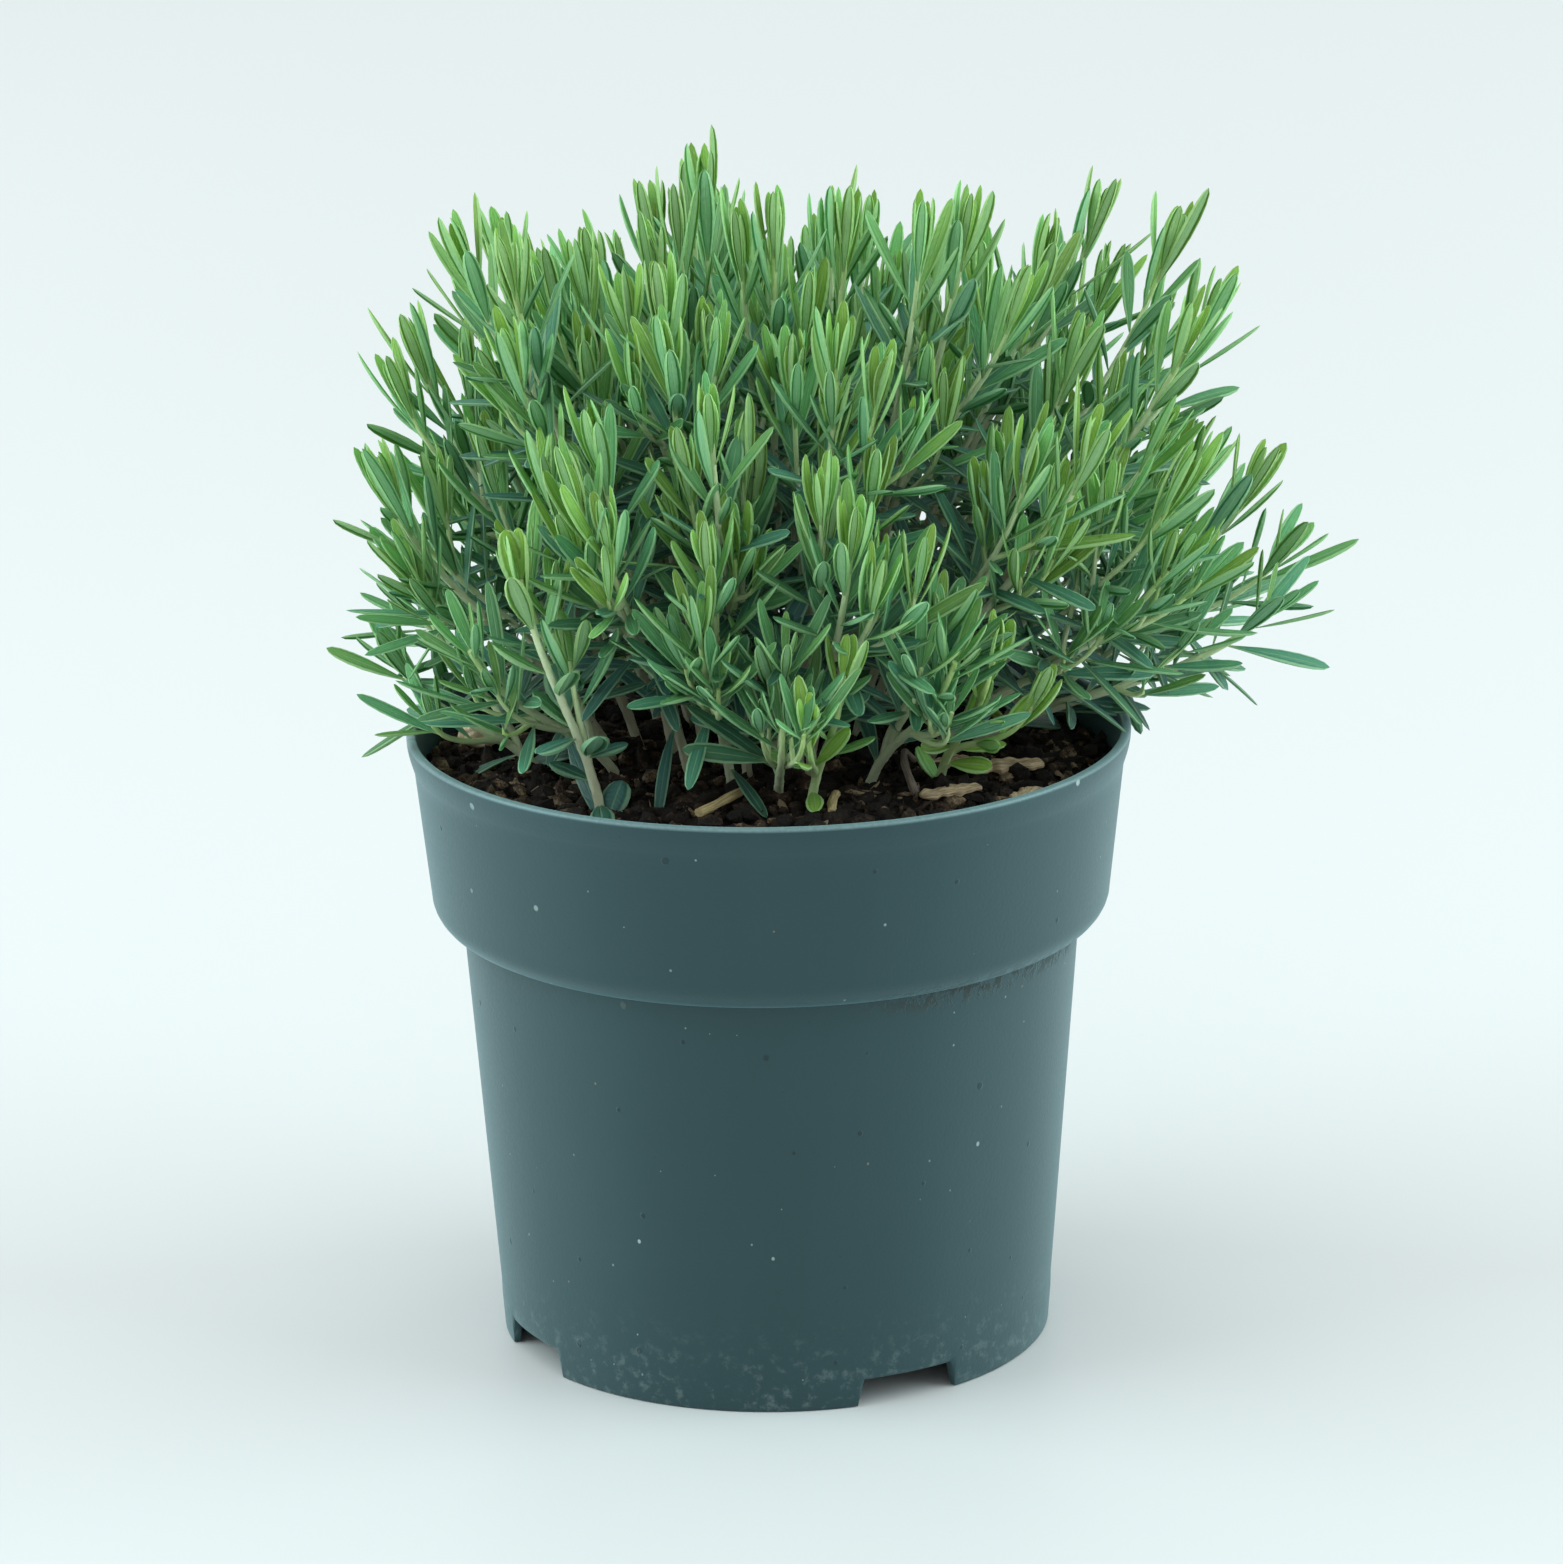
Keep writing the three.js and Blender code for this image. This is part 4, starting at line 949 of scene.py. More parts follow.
def pot_columns(pot):
    """Angles of the pot's columns: even, with extra ones where a notch's ends stand."""
    sizes = pot.sizes
    even = np.linspace(0, 2 * math.pi, POT_COLUMNS, endpoint=False)
    half = sizes.notch_width / 2 / sizes.foot_radius
    ends = np.array([half, half + sizes.notch_slant / sizes.foot_radius])
    ends = np.concatenate([ends, -ends])
    starts = sizes.notch_turn + 2 * math.pi * np.arange(sizes.notch_count) / sizes.notch_count
    extra = (starts[:, None] + ends[None]).ravel() % (2 * math.pi)
    far = np.abs(even[:, None] - extra[None]).min(1) > LEAST_COLUMN
    return np.sort(np.concatenate([even[far], extra]))


def drain_cutter(pot):
    """Round bars through the floor where its drain holes stand, as one piece."""
    sizes = pot.sizes
    sides = 40
    turn = np.linspace(0, 2 * math.pi, sides, endpoint=False)
    starts = sizes.notch_turn + 2 * math.pi * np.arange(sizes.notch_count) / sizes.notch_count
    past = 3.0
    ends = np.array([-past, past + sizes.floor_thickness])
    ring = sizes.drain_radius * np.stack([np.cos(turn), np.sin(turn), 0 * turn], -1)
    middle = np.stack([sizes.drain_ring * np.cos(starts), sizes.drain_ring * np.sin(starts),
                       np.full(len(starts), sizes.floor_underside)], 1)
    points = middle[:, None, None] + ring[None, None] + ends[None, :, None, None] * UP
    faces = tube_faces(2, sides)[None] + 2 * sides * np.arange(len(starts))[:, None, None]
    places = to_row(points.reshape(-1, 3))
    return new_piece("drain_cutter", places, faces.reshape(-1, 4), [], smooth=False)


def cut_away(piece, cutter):
    """Takes the cutter's volume out of a piece, and the cutter out of the scene."""
    cut = piece.modifiers.new("cut", "BOOLEAN")
    cut.object = cutter
    cut.operation = "DIFFERENCE"
    cut.solver = "EXACT"
    shaped = piece.evaluated_get(bpy.context.evaluated_depsgraph_get())
    mesh = bpy.data.meshes.new_from_object(shaped)
    piece.modifiers.clear()
    piece.data = mesh
    bpy.data.objects.remove(cutter)


def plastic_finish(sizes):
    """Matte recycled plastic: slightly uneven grey, dark and pale specks, fine scuffs, dirt
    caught under the collar and dust low down, and a paler top edge on the rim, partly wear and
    partly a painted highlight."""
    s = Shader("pot_plastic")
    where = s.places()
    parts = s.node("SeparateXYZ", None, {0: where})
    x, y, z = (Value(s, parts.outputs[k]) for k in range(3))
    base = tuple(sizes.plastic)
    broad = s.noise(where, 22.0, 3.0)
    skin = s.mix(broad.smooth(0.3, 0.75) * 0.5, base, tuple(1.22 * part for part in base))
    flow = s.noise(where, 60.0, 4.0, 0.6, (1, 1, 0.12))
    skin = s.mix(flow.smooth(0.45, 0.8) * 0.16, skin, tuple(1.9 * part for part in base))
    grain = s.noise(where, 1400.0, 3.0, 0.6)
    skin = s.mix(grain.smooth(0.55, 0.75) * 0.18, skin, tuple(2.0 * part for part in base))
    round_pot = (y - AXIS[1]).math("ARCTAN2", x - AXIS[0]) * (RIM_RADIUS_MM * MM)
    sheet = s.value("CombineXYZ", None, {0: round_pot, 1: z})
    speck, tone = s.specks(sheet, 62.0, 0.021, 0.50)
    skin = s.mix(speck, skin, tone)
    dust_speck, dust_tone = s.specks(sheet, 150.0, 0.018, 0.45)
    skin = s.mix(dust_speck * 0.7, skin, dust_tone)
    crease = s.noise(where, 420.0, 4.0, 0.7)
    step = AXIS[2] + (POT_HEIGHT_MM - sizes.collar_drop - sizes.collar_turn) * MM
    near = 1 - (z - (step - 0.0008)).math("ABSOLUTE").smooth(0.0008, 0.0040)
    side = (x - (AXIS[0] + 0.012)).smooth(0.0, 0.02)
    dirt = near * crease.smooth(0.44, 0.56) * (side * 0.95 + 0.08)
    skin = s.mix(dirt, skin, (0.020, 0.013, 0.008))
    dust = (1 - (z - AXIS[2]).smooth(0.002, 0.02)) * crease.smooth(0.5, 0.7)
    skin = s.mix(dust * 0.35, skin, (0.16, 0.20, 0.19))
    # Paler top of the rim: partly wear, partly a painted highlight along the lip.
    worn_and_highlight = (z - (POT_HIGH.z - 0.0009)).smooth(0.0, 0.0005) * (0.35 + grain * 0.6)
    skin = s.mix(worn_and_highlight, skin, (0.16, 0.24, 0.24))
    rough = 0.44 + (grain - 0.5) * 0.16 + dirt * 0.3 + speck * 0.2
    height = grain * 0.5 + flow * 0.3 + speck * 1.5 + dirt * 2.0
    fixed = {"Specular IOR Level": 0.68, "Sheen Weight": 0.27, "Sheen Tint": (0.50, 0.93, 1.0),
             "Specular Tint": (0.56, 0.93, 1.0)}
    return s.finish(skin, rough, s.bump(height, 0.00012, 0.6), fixed)


MOULD_LINE_RISE = 3.2  # of the step above the notches
MOULD_STEP = 0.14


def mould_line(pot, points):
    """The thin step round the body just above the notches, left by the mould."""
    z = points[..., 2]
    out = np.hypot(points[..., 0], points[..., 1])
    line = pot.sizes.notch_height + MOULD_LINE_RISE
    outside = out > pot.radius(z) - 0.5
    swell = MOULD_STEP * (1 - ease(z, line - 0.3, line + 0.3)) * outside
    grow = 1 + swell / np.maximum(out, 1)
    return points * np.stack([grow, grow, np.ones_like(grow)], -1)


# ------------------------------------------------------------------ compost and litter
PEAT_COLUMNS = 420
PEAT_RINGS = 120


def peat_finish(soil):
    """Damp peat: near black, with warm fibres and a few pale grains, broken up by its tint."""
    s = Shader("peat")
    where = s.places()
    tint = s.attribute("tint")
    clump = s.noise(where, 260.0, 4.0, 0.65)
    fine = s.noise(where, 1700.0, 3.0, 0.7)
    fibre = s.noise(where, 900.0, 2.0, 0.5, (1, 0.18, 1))
    mixed = clump * 0.6 + fine * 0.3 + tint * 0.45 - 0.18
    skin = s.ramp(mixed, [(0.26, tuple(soil.dark)), (0.56, (0.020, 0.014, 0.011)),
                          (0.68, tuple(soil.warm)), (0.78, (0.34, 0.25, 0.16))])
    skin = s.mix(fibre.smooth(0.64, 0.74) * 0.5, skin, (0.12, 0.075, 0.04))
    height = clump * 1.2 + fine + fibre * 0.4
    return s.finish(skin, 0.86 + (fine - 0.5) * 0.2, s.bump(height, 0.0009, 1.0),
                    {"Specular IOR Level": 0.25})


def peat_mesh(pot, compost):
    """The compost as one closed body: rings of its lumpy surface from the axis to the wall, with
    three sizes of ripple on it, then rings down inside the wall and a flat underside."""
    turn = np.linspace(0, 2 * math.pi, PEAT_COLUMNS, endpoint=False)
    circle = np.stack([np.cos(turn), np.sin(turn)], -1)
    share = np.sqrt(np.linspace(0.00001, 1, PEAT_RINGS))
    x, y = (compost.radius * share[:, None] * circle[:, k] for k in range(2))
    flat = np.stack([x, y, 0 * x], -1)
    rough = 0.7 * ripple(flat, 9.0, 1) + 0.55 * ripple(flat, 3.7, 2) + 0.35 * ripple(flat, 1.7, 4)
    fade = 1 - ease(share[:, None], 0.97, 1.0)
    z = compost.height(x, y) + rough * fade * 0.8
    bottom = pot.floor_top + CLEARANCE
    wall_z = np.concatenate([np.linspace(z[-1].min() - 1, pot.turn_height, 5),
                             pot.turn_height - pot.sizes.collar_turn * np.linspace(0.1, 1, 6),
                             np.linspace(pot.body_top - 4, bottom, 8)])
    wall_r = pot.radius(wall_z) - pot.sizes.wall - CLEARANCE
    wall_z, wall_r = np.append(wall_z, bottom), np.append(wall_r, HUB)
    wall = np.concatenate([wall_r[:, None, None] * circle[None],
                           wall_z[:, None, None] + 0 * circle[None, :, :1]], -1)
    points = np.concatenate([np.stack([x, y, z], -1), wall])
    faces = tube_faces(len(points), len(turn))[:, ::-1]
    return points.reshape(-1, 3), faces


def icosahedron():
    """Its twelve corners, one unit from the middle, and its twenty faces."""
    golden = (1 + math.sqrt(5)) / 2
    corners = unit(np.array([
        (-1, golden, 0), (1, golden, 0), (-1, -golden, 0), (1, -golden, 0),
        (0, -1, golden), (0, 1, golden), (0, -1, -golden), (0, 1, -golden),
        (golden, 0, -1), (golden, 0, 1), (-golden, 0, -1), (-golden, 0, 1)]))
    triangles = np.array([
        (0, 11, 5), (0, 5, 1), (0, 1, 7), (0, 7, 10), (0, 10, 11), (1, 5, 9), (5, 11, 4),
        (11, 10, 2), (10, 7, 6), (7, 1, 8), (3, 9, 4), (3, 4, 2), (3, 2, 6), (3, 6, 8),
        (3, 8, 9), (4, 9, 5), (2, 4, 11), (6, 2, 10), (8, 6, 7), (9, 8, 1)])
    return corners, triangles


def turned(shape, angles, first, second):
    """Shapes turned by one angle each, from the first axis towards the second."""
    c, n = np.cos(angles)[:, None], np.sin(angles)[:, None]
    result = shape.copy()
    result[..., first] = shape[..., first] * c - shape[..., second] * n
    result[..., second] = shape[..., first] * n + shape[..., second] * c
    return result


def crumb_mesh(count, compost, seed, low, high, stretch):
    """Many angular crumbs: an icosahedron for each, with its corners pushed in and out, scaled,
    turned, and set on the surface so that about a third of it is buried."""
    corners, triangles = icosahedron()
    draw = np.random.default_rng(seed)
    turn = draw.uniform(0, 2 * math.pi, count)
    out = (compost.radius - 0.6) * np.sqrt(draw.uniform(0, 1, count))
    size = low * (high / low) ** (draw.uniform(0, 1, count) ** 2.2)
    shape = corners[None] * draw.uniform(0.7, 1.25, (count, 12, 1))
    scales = [1 + stretch * draw.uniform(0, 1, count),
              draw.uniform(0.6, 1, count), draw.uniform(0.5, 0.9, count)]
    shape = shape * np.stack(scales, 1)[:, None]
    spin = draw.uniform(0, 2 * math.pi, count)
    tilt = draw.normal(0, 0.35, count)
    shape = turned(turned(shape, tilt, 0, 2), spin, 0, 1)
    x, y = out * np.cos(turn), out * np.sin(turn)
    z = compost.height(x, y) + 0.25 * size
    points = shape * size[:, None, None] + np.stack([x, y, z], 1)[:, None]
    inside = np.minimum((compost.radius - 0.1) / np.hypot(points[..., 0], points[..., 1]), 1)
    points[..., :2] *= inside[..., None]
    faces = (triangles[None] + 12 * np.arange(count)[:, None, None]).reshape(-1, 3)
    return points.reshape(-1, 3), faces, np.repeat(draw.uniform(0, 1, count), 12)


SWEPT_END = 0.02  # size of a swept piece's end caps, as a share of its end sections


def swept(path, normals, sections):
    """A section of (across, rise) pairs for each place of a path, carried square to it, and
    closed at both ends by drawing the first and last sections in nearly to a point."""
    along = unit(np.gradient(path, axis=0))
    over = unit(normals - (normals * along).sum(1, keepdims=True) * along)
    side = np.cross(over, along)
    points = path[:, None] + sections[..., :1] * side[:, None] + sections[..., 1:] * over[:, None]
    ends = points[[0, -1]]
    middles = ends.mean(1, keepdims=True)
    small = middles + (ends - middles) * SWEPT_END
    points = np.concatenate([small[:1], points, small[1:]])
    rows, columns = points.shape[:2]
    return points.reshape(-1, 3), tube_faces(rows, columns), rows, columns


def add_swept_maps(piece, rows, columns):
    """The sheet a swept piece unrolls to: u along it and v round it."""
    row, place = tube_corners(rows, columns)
    corners = np.stack([row / (rows - 1), place / columns], -1).reshape(-1, 2)
    add_map(piece, "blade", corners)
    add_map(piece, BAKE_MAP, 0.01 + 0.98 * corners)


# Litter: node, turn, spin and length of its CAD solid's place, in degrees and millimetres.
# A bark chip's last number is its width, and a straw's its radius.
BARK_CHIPS = [(-16, 12, 15, 7), (-41, 28, 13, 5), (-28, 20, 9, 4.5), (-30, 62, 9, 5),
              (150, 10, 11, 6)]
STRAWS = [(-104, 58, 17, 0.9), (-72, 85, 12, 0.8)]
# A stalk's turn and spin, its span, rise and bend, its radius, and its tip's share of that.
TWIG = (-56, 75, 11, 7, 2, 0.8, 0.6)
SPROUT = (4, 70, 11, 5, 4, 1.0, 0.8)


def resting_place(node, turn, spin):
    """Middle of a node's underside in metres, its direction and its thickness: the solid was
    moved round the pot from its own turn to a free place, and spun by as much."""
    low, high = (np.array(corner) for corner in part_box(node))
    middle = (low + high) / 2
    found = math.degrees(math.atan2(middle[1] - AXIS[1], middle[0] - AXIS[0]))
    moved = (found - turn + 180) % 360 - 180
    way = math.radians(spin + moved)
    foot = np.array([middle[0], middle[1], low[2]])
    return foot, np.array([math.cos(way), math.sin(way), 0.0]), high[2] - low[2]


def wood_finish(name, pale, dark, grain):
    """Torn wood or straw: fibres along its length, darker in the cracks and at the ends."""
    s = Shader(name)
    u, v = s.map("blade")
    where = s.places()
    sheet = s.value("CombineXYZ", None, {0: u * 1.2, 1: v * grain, 2: s.attribute("tint") * 7})
    inputs = {"Vector": sheet, "Scale": 4.0, "Detail": 5.0, "Roughness": 0.7}
    fibres = s.value("TexNoise", None, inputs)
    fine = s.noise(where, 1900.0, 3.0, 0.7)
    blotch = s.noise(where, 220.0, 2.0)
    ends = (u - 0.5).math("ABSOLUTE").smooth(0.38, 0.5)
    skin = s.mix(fibres.smooth(0.34, 0.62), dark, pale)
    skin = s.mix(blotch.smooth(0.5, 0.75) * 0.6, skin, tuple(0.55 * part for part in pale))
    skin = s.mix(ends * 0.4 + fine * 0.15, skin, tuple(0.6 * part for part in dark))
    height = fibres * 1.2 + fine * 0.4
    return s.finish(skin, 0.80 + (fine - 0.5) * 0.2, s.bump(height, 0.0004, 1.0),
                    {"Specular IOR Level": 0.3})


TORN_SHARE = 0.94  # a torn flake's length and width, as shares of its solid's


def bark_piece(number, material):
    """A torn flake: a flattened rounded section whose width, ends and both faces are broken up
    by noise, carried along a slightly bowed line."""
    turn, spin, length, width = BARK_CHIPS[number]
    name = f"bark_chip_{number + 1}"
    foot, way, thick = resting_place(name, turn, spin)
    stations, around = 40, 28
    t = np.linspace(-1, 1, stations)
    side = np.cross(UP, way)
    bow = 0.05 * length * (1 - t * t) * (chance(number, 81) - 0.4)
    path = foot + (t * length * TORN_SHARE / 2 * MM)[:, None] * way
    path += (bow * MM)[:, None] * side + thick / 2 * UP
    turn_round = np.linspace(0, 2 * math.pi, around, endpoint=False)
    torn = (1 - np.abs(t) ** 5) ** 0.45 * (0.86 + 0.2 * np.sin(5 * t + number) * np.sin(11 * t))
    flat_c = np.sign(np.cos(turn_round)) * np.abs(np.cos(turn_round)) ** 0.5
    flat_s = np.sign(np.sin(turn_round)) * np.abs(np.sin(turn_round)) ** 0.7
    across = torn[:, None] * flat_c[None] * width * TORN_SHARE / 2 * MM
    rise = np.maximum(torn, 0.25)[:, None] * flat_s[None] * thick * 0.42
    probe = np.stack([t[:, None] * length * 0.2 + 0 * across, across / MM, rise / MM], -1)
    rough = 0.22 * ripple(probe, 2.6, number + 3)
    rough += 0.12 * ripple(probe * [0.4, 1, 1], 0.9, number + 13)
    sections = np.stack([across * (1 + 0.15 * rough), rise * (1 + 0.9 * rough)], -1)
    points, faces, rows, columns = swept(path, UP + 0 * path, sections)
    piece = new_piece(name + "_torn", points, faces, [material])
    add_values(piece, "tint", np.full(len(points), float(chance(number, 88))))
    add_swept_maps(piece, rows, columns)
    return piece, name


NUDGE = 1e-6  # keeps the points of a straw's clipped ends apart, so its line has a direction


def straw_piece(number, material):
    """A flattened hollow stalk: an oval section carried along a line, with a dished end."""
    turn, spin, length, radius = STRAWS[number]
    name = f"straw_{number + 1}"
    foot, way, thick = resting_place(name, turn, spin)
    t = np.concatenate([[-0.93], [-1], np.linspace(-1, 1, 30), [1], [0.93]])
    shrink = np.concatenate([[0.45], [0.8], np.ones(30), [0.8], [0.45]])
    path = foot + (np.clip(t, -0.995, 0.995) * length * 0.5 * MM)[:, None] * way + thick / 2 * UP
    around = np.linspace(0, 2 * math.pi, 20, endpoint=False)
    ridge = 1 + 0.05 * np.cos(9 * around)
    wave = 1 + 0.06 * np.sin(6 * t + number)
    across = (shrink * wave)[:, None] * (np.cos(around) * ridge)[None] * radius * MM
    rise = (shrink * wave)[:, None] * (np.sin(around) * ridge)[None] * radius * 0.86 * MM
    path[:, :2] += (np.sin(2.2 * t + number) * 0.25 * MM)[:, None] * np.cross(UP, way)[:2]
    path = path + np.linspace(-1, 1, len(t))[:, None] * way * NUDGE
    section = np.stack([across, rise], -1)
    points, faces, rows, columns = swept(path, UP + 0 * path, section)
    piece = new_piece(name + "_dry", points, faces, [material])
    add_values(piece, "tint", np.full(len(points), float(chance(number, 89))))
    add_swept_maps(piece, rows, columns)
    return piece, name


SMOOTHINGS = 60  # rounds that draw a stalk's line to its neighbours' middle


def stalk_piece(node, label, sizes, material):
    """A thin round stalk bent over the compost: straight lines through four points, smoothed
    into a curve, thinner towards its far end."""
    turn, spin, span, rise, bend, radius, taper = sizes
    foot, way, _ = resting_place(node, turn, spin)
    side = np.cross(UP, way)
    half = span / 2
    knots = np.array([(-half, 0, radius), (-0.3 * half, bend, 0.75 * rise),
                      (0.4 * half, bend, rise), (half, 0, 0.55 * rise)])
    t = np.linspace(0, 3, 60)
    path = np.stack([np.interp(t, [0, 1, 2, 3], knots[:, k]) for k in range(3)], 1)
    for _ in range(SMOOTHINGS):
        path[1:-1] += 0.5 * ((path[2:] + path[:-2]) / 2 - path[1:-1])
    low, high = (np.array(corner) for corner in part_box(node))
    place = foot + path[:, :1] * MM * way + path[:, 1:2] * MM * side + path[:, 2:] * MM * UP
    place += ((low + high) / 2 - (place.min(0) + place.max(0)) / 2) * [1, 1, 0]
    around = np.linspace(0, 2 * math.pi, 14, endpoint=False)
    thick = radius * MM * (1 - (1 - taper) * t / 3) * (1 + 0.06 * np.sin(7 * t))
    section = thick[:, None, None] * np.stack([np.cos(around), np.sin(around)], -1)[None]
    points, faces, rows, columns = swept(place, UP + 0.2 * side + 0 * place, section)
    piece = new_piece(node + label, points, faces, [material])
    add_values(piece, "tint", np.full(len(points), 0.4))
    add_swept_maps(piece, rows, columns)
    return piece


def chunk_piece(material):
    """A lump of broken wood: a sphere of rings, squashed, with flats and pits from noise."""
    low, high = (np.array(corner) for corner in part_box("wood_chunk"))
    rows = 40
    columns = 48
    tilt = np.linspace(0.02, math.pi - 0.02, rows)
    turn = np.linspace(0, 2 * math.pi, columns, endpoint=False)
    shape = np.stack([np.sin(tilt)[:, None] * np.cos(turn), -np.sin(tilt)[:, None] * np.sin(turn),
                      np.cos(tilt)[:, None] + 0 * turn], -1)
    rough = 1 + 0.10 * ripple(shape, 1.3, 5) + 0.05 * ripple(shape, 0.45, 6) - 0.05
    shape = np.sign(shape) * np.abs(shape) ** 0.8 * rough[..., None]
    shape /= np.abs(shape).max((0, 1))
    points = ((low + high) / 2 + shape * (high - low) / 2).reshape(-1, 3)
    piece = new_piece("wood_chunk_broken", points, tube_faces(rows, columns), [material])
    add_values(piece, "tint", np.full(len(points), 0.7))
    add_swept_maps(piece, rows, columns)
    return piece


def sprout_finish():
    """A fresh seedling: yellow-green with pale streaks along it."""
    s = Shader("seedling")
    u, _ = s.map("blade")
    streak = s.noise(s.places(), 900.0, 3.0)
    skin = s.mix(streak.smooth(0.3, 0.7), (0.30, 0.50, 0.05), (0.52, 0.66, 0.14))
    skin = s.mix((1 - u.smooth(0.0, 0.25)) * 0.6, skin, (0.50, 0.46, 0.26))
    normal = s.bump(streak, 0.0002, 0.5)
    return s.finish(skin, 0.42 + streak * 0.1, normal, None, (0.45, 0.65, 0.1), 0.12)


# ------------------------------------------------------------------ operators
def settle(piece, slot, *nodes):
    """A finished piece rides on the plant's one body and stands for its solids."""
    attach(piece, "root")
    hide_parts(*nodes)


class BOGROSEMARY_OT_pot(bpy.types.Operator):
    """Turn the pot from its closed section, with notches in its foot and drain holes"""

    bl_idname = "bogrosemary.pot"
    bl_label = "Nursery Pot"

    def execute(self, context):
        pot, _ = shapes(context.scene)
        profile = pot_profile(pot)
        turn = pot_columns(pot)
        lift = foot_lift(pot, turn)
        radius = profile[:, :1] + 0 * turn  # a row for each point of the section
        z = np.maximum(profile[:, 1:], lift[None] * (profile[:, 1:] < pot.sizes.notch_height))
        points = np.stack([radius * np.cos(turn), radius * np.sin(turn), z], -1)
        points = mould_line(pot, points)
        faces = tube_faces(len(profile), len(turn))
        piece = new_piece("nursery_pot", to_row(points.reshape(-1, 3)), faces,
                          [plastic_finish(pot.sizes)])
        cut_away(piece, drain_cutter(pot))
        settle(piece, "pot_plastic", "pot")
        return {"FINISHED"}


class BOGROSEMARY_OT_compost(bpy.types.Operator):
    """Fill the pot with compost: a crumbly surface over a plain body, and loose crumbs on it"""

    bl_idname = "bogrosemary.compost"
    bl_label = "Compost"

    def execute(self, context):
        pot, compost = shapes(context.scene)
        soil = context.scene.bog_soil
        material = peat_finish(soil)
        points, faces = peat_mesh(pot, compost)
        piece = new_piece("peat", to_row(points), faces, [material])
        add_values(piece, "tint", np.full(len(points), 0.3))
        settle(piece, "compost", "compost")
        crumbs = crumb_mesh(soil.crumbs, compost, 11, 0.35, 2.6, 0.7)
        self.scatter("peat_crumbs", crumbs, 0.0, material)
        fibres = crumb_mesh(soil.crumbs // 4, compost, 12, 0.3, 1.0, 5.5)
        self.scatter("peat_fibres", fibres, 0.25, material)
        return {"FINISHED"}

    def scatter(self, name, bits, paler, material):
        """Loose bits stand for no solid of their own. The paler they are, the drier they look."""
        points, faces, tint = bits
        piece = new_piece(name, to_row(points), faces, [material], smooth=False)
        add_values(piece, "tint", tint + paler)
        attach(piece, "root")


class BOGROSEMARY_OT_branches(bpy.types.Operator):
    """Grow every branch of the mound and the sprigs at its edge"""

    bl_idname = "bogrosemary.branches"
    bl_label = "Branches"

    def execute(self, context):
        pot, compost = shapes(context.scene)
        plant = context.scene.bog_plant
        materials = [leaf_finish(plant), stem_finish()]
        for name, shoots in plan_plant(plant, compost):
            piece = grow_branch(plant, name, shoots, pot, compost, materials)
            young = name.startswith("sprig_front")
            settle(piece, "young_foliage" if young else "mature_foliage", name)
        return {"FINISHED"}


class BOGROSEMARY_OT_litter(bpy.types.Operator):
    """Lay the bark, straw, twig, seedling and wood on the compost"""

    bl_idname = "bogrosemary.litter"
    bl_label = "Litter"

    def execute(self, context):
        bark = wood_finish("bark", (0.88, 0.68, 0.44), (0.36, 0.23, 0.12), 9.0)
        straw = wood_finish("straw", (0.90, 0.72, 0.38), (0.48, 0.32, 0.13), 7.0)
        cream = wood_finish("pale_wood", (0.90, 0.74, 0.52), (0.56, 0.38, 0.20), 5.0)
        grey = wood_finish("dry_twig", (0.30, 0.25, 0.20), (0.12, 0.09, 0.065), 6.0)
        for number in range(len(BARK_CHIPS)):
            piece, node = bark_piece(number, bark)
            settle(piece, "bark", node)
        for number in range(len(STRAWS)):
            piece, node = straw_piece(number, straw)
            settle(piece, "straw", node)
        settle(stalk_piece("twig", "_bent", TWIG, grey), "dry_twig", "twig")
        settle(stalk_piece("sprout", "_hooked", SPROUT, sprout_finish()), "seedling", "sprout")
        settle(chunk_piece(cream), "bark", "wood_chunk")
        return {"FINISHED"}


FLOOR_RADIUS = 7.0
FLOOR_DROP = 0.0002  # of the floor below the pot's foot
PLANT_MIDDLE = 0.13  # its height above the pot's foot, at which the lamps aim
CAMERA_TARGET_MM = np.array([2.165, 0, 101.476])  # from the pot's axis and foot


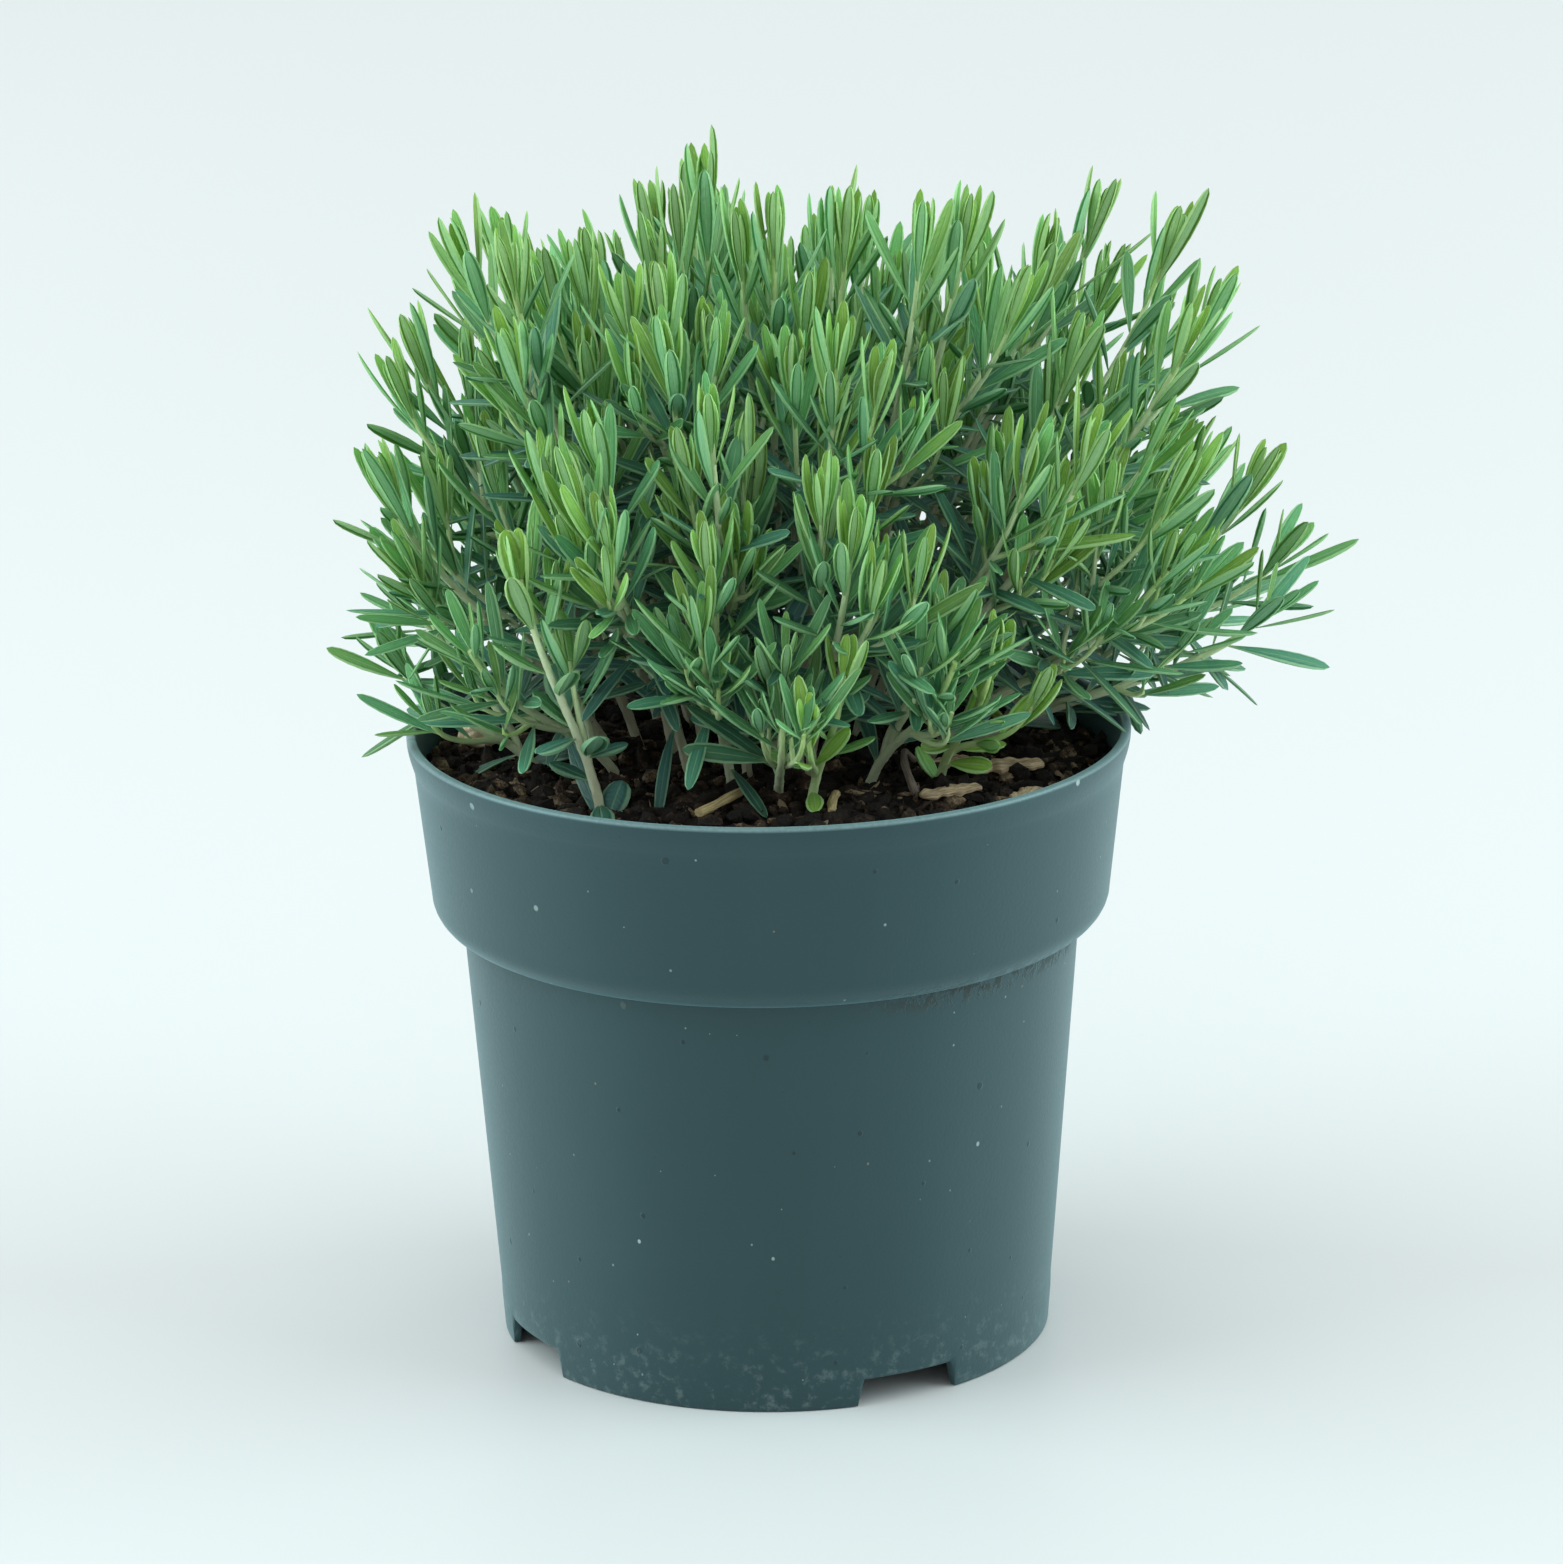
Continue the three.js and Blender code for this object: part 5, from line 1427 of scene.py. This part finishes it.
class BOGROSEMARY_OT_stage(bpy.types.Operator):
    """Lay a pale floor and set the soft light and the camera"""

    bl_idname = "bogrosemary.stage"
    bl_label = "Stage"

    def execute(self, context):
        stage = context.scene.bog_stage
        self.lay_floor(stage)
        self.light(stage)
        self.aim_camera(stage)
        return {"FINISHED"}

    def lay_floor(self, stage):
        """A round floor: rings of points that spread out by squares of the distance. It is
        paler further off, where less of the lamps' light falls."""
        count = 24
        columns = 96
        rings = (np.linspace(0.01, 1, count) ** 2 * FLOOR_RADIUS)[:, None]
        turn = np.linspace(0, 2 * math.pi, columns, endpoint=False)
        level = 0 * rings + 0 * turn - FLOOR_DROP
        points = np.stack([rings * np.cos(turn), rings * np.sin(turn), level], -1)
        points[..., :2] += AXIS[:2]
        s = Shader("floor")
        where = s.places()
        haze = s.noise(where, 3.0, 2.0)
        skin = s.mix(haze * 0.12, tuple(stage.floor), tuple(0.94 * part for part in stage.floor))
        off = s.value("VectorMath", {"operation": "DISTANCE"}, {0: where, 1: tuple(AXIS)}, "Value")
        skin = s.mix(off.smooth(0.6, 1.7), skin, tuple(1.26 * part for part in stage.floor))
        material = s.finish(skin, 0.45, s.bump(haze, 0.0001, 0.1), {"Specular IOR Level": 0.3})
        faces = np.concatenate([grid_faces(count, columns, closed_columns=True),
                                cap_faces(columns)[:, ::-1]])
        floor = new_piece("floor", points.reshape(-1, 3), faces[:, ::-1], [material])

    def light(self, stage):
        """Even light from all round, a large soft lamp above, two behind for the edges, and two
        large cool ones at the sides that lighten the pot's flanks. Each lamp faces the plant."""
        world = bpy.data.worlds.new("surround")
        bpy.context.scene.world = world
        world.use_nodes = True
        background = world.node_tree.nodes["Background"]
        background.inputs[0].default_value = (*stage.surround, 1.0)
        background.inputs[1].default_value = stage.surround_strength
        back_power = stage.key_power * 0.7
        white = (1.0, 1.0, 1.0)
        self.hang_lamp("key", (-0.2, -0.45, 1.25), 0.9, stage.key_power, white)
        self.hang_lamp("back_left", (-0.75, 0.75, 0.7), 0.6, back_power, white)
        self.hang_lamp("back_right", (0.8, 0.7, 0.7), 0.6, back_power, white)
        self.hang_lamp("side_left", (-1.6, -0.2, 0.85), 1.5, stage.side_power, stage.side_light)
        self.hang_lamp("side_right", (1.6, -0.2, 0.85), 1.5, stage.side_power, stage.side_light)

    def hang_lamp(self, name, offset, size, power, tone):
        """A square lamp at an offset from the pot's foot, facing the middle of the plant."""
        lamp = bpy.data.lights.new(name, "AREA")
        lamp.color = tone
        lamp.size = size
        lamp.energy = power
        holder = bpy.data.objects.new(name, lamp)
        bpy.context.scene.collection.objects.link(holder)
        place = np.array(offset) + AXIS
        holder.location = place
        back = place - (AXIS + [0, 0, PLANT_MIDDLE])
        holder.rotation_mode = "QUATERNION"
        holder.rotation_quaternion = Vector(back).to_track_quat("Z", "Y")

    def aim_camera(self, stage):
        """The camera looks along +Y and down at a point near the pot's axis."""
        target = AXIS + CAMERA_TARGET_MM * MM
        down = stage.elevation
        forward = np.array([0, math.cos(down), -math.sin(down)])
        right = np.array([1.0, 0, 0])
        up = np.array([0, math.sin(down), math.cos(down)])
        c, n = math.cos(stage.roll), math.sin(stage.roll)
        right, up = c * right + n * up, c * up - n * right
        camera = bpy.data.cameras.new("camera")
        camera.lens = stage.lens
        camera.sensor_width = 36
        camera.sensor_fit = "HORIZONTAL"
        camera.clip_start = 0.05
        camera.clip_end = 50
        holder = bpy.data.objects.new("camera", camera)
        bpy.context.scene.collection.objects.link(holder)
        facing = Matrix(np.stack([right, up, -forward], 1).tolist()).to_4x4()
        place = Vector(target - stage.distance * forward)
        holder.matrix_world = Matrix.Translation(place) @ facing
        bpy.context.scene.camera = holder
        bpy.context.scene.view_settings.view_transform = "Standard"


class BOGROSEMARY_PT_panel(bpy.types.Panel):
    """Lists the plant's pieces, in the order that they are made"""

    bl_idname = "BOGROSEMARY_PT_panel"
    bl_label = "Bog Rosemary"
    bl_space_type = "VIEW_3D"
    bl_region_type = "UI"
    bl_category = "Bog Rosemary"

    def draw(self, context):
        for operator in OPERATORS:
            self.layout.operator(operator.bl_idname)
        for group in GROUPS:
            settings = getattr(context.scene, group)
            for name in settings.bl_rna.properties.keys():
                if name not in NOT_SETTINGS:
                    self.layout.prop(settings, name)


OPERATORS = (BOGROSEMARY_OT_stage, BOGROSEMARY_OT_pot, BOGROSEMARY_OT_compost,
             BOGROSEMARY_OT_branches, BOGROSEMARY_OT_litter)
NOT_SETTINGS = ("rna_type", "name")  # what every group has besides its own settings
GROUPS = {"bog_pot": PotSettings, "bog_plant": PlantSettings,
          "bog_soil": SoilSettings, "bog_stage": StageSettings}


def register():
    for known in (*GROUPS.values(), *OPERATORS, BOGROSEMARY_PT_panel):
        bpy.utils.register_class(known)
    for name, group in GROUPS.items():
        setattr(bpy.types.Scene, name, bpy.props.PointerProperty(type=group))


def unregister():
    for name in GROUPS:
        delattr(bpy.types.Scene, name)
    for known in (BOGROSEMARY_PT_panel, *reversed(OPERATORS), *reversed(list(GROUPS.values()))):
        bpy.utils.unregister_class(known)


def main():
    register()
    bpy.ops.bogrosemary.stage()
    bpy.ops.bogrosemary.pot()
    bpy.ops.bogrosemary.compost()
    bpy.ops.bogrosemary.branches()
    bpy.ops.bogrosemary.litter()


if __name__ == "__main__":
    main()
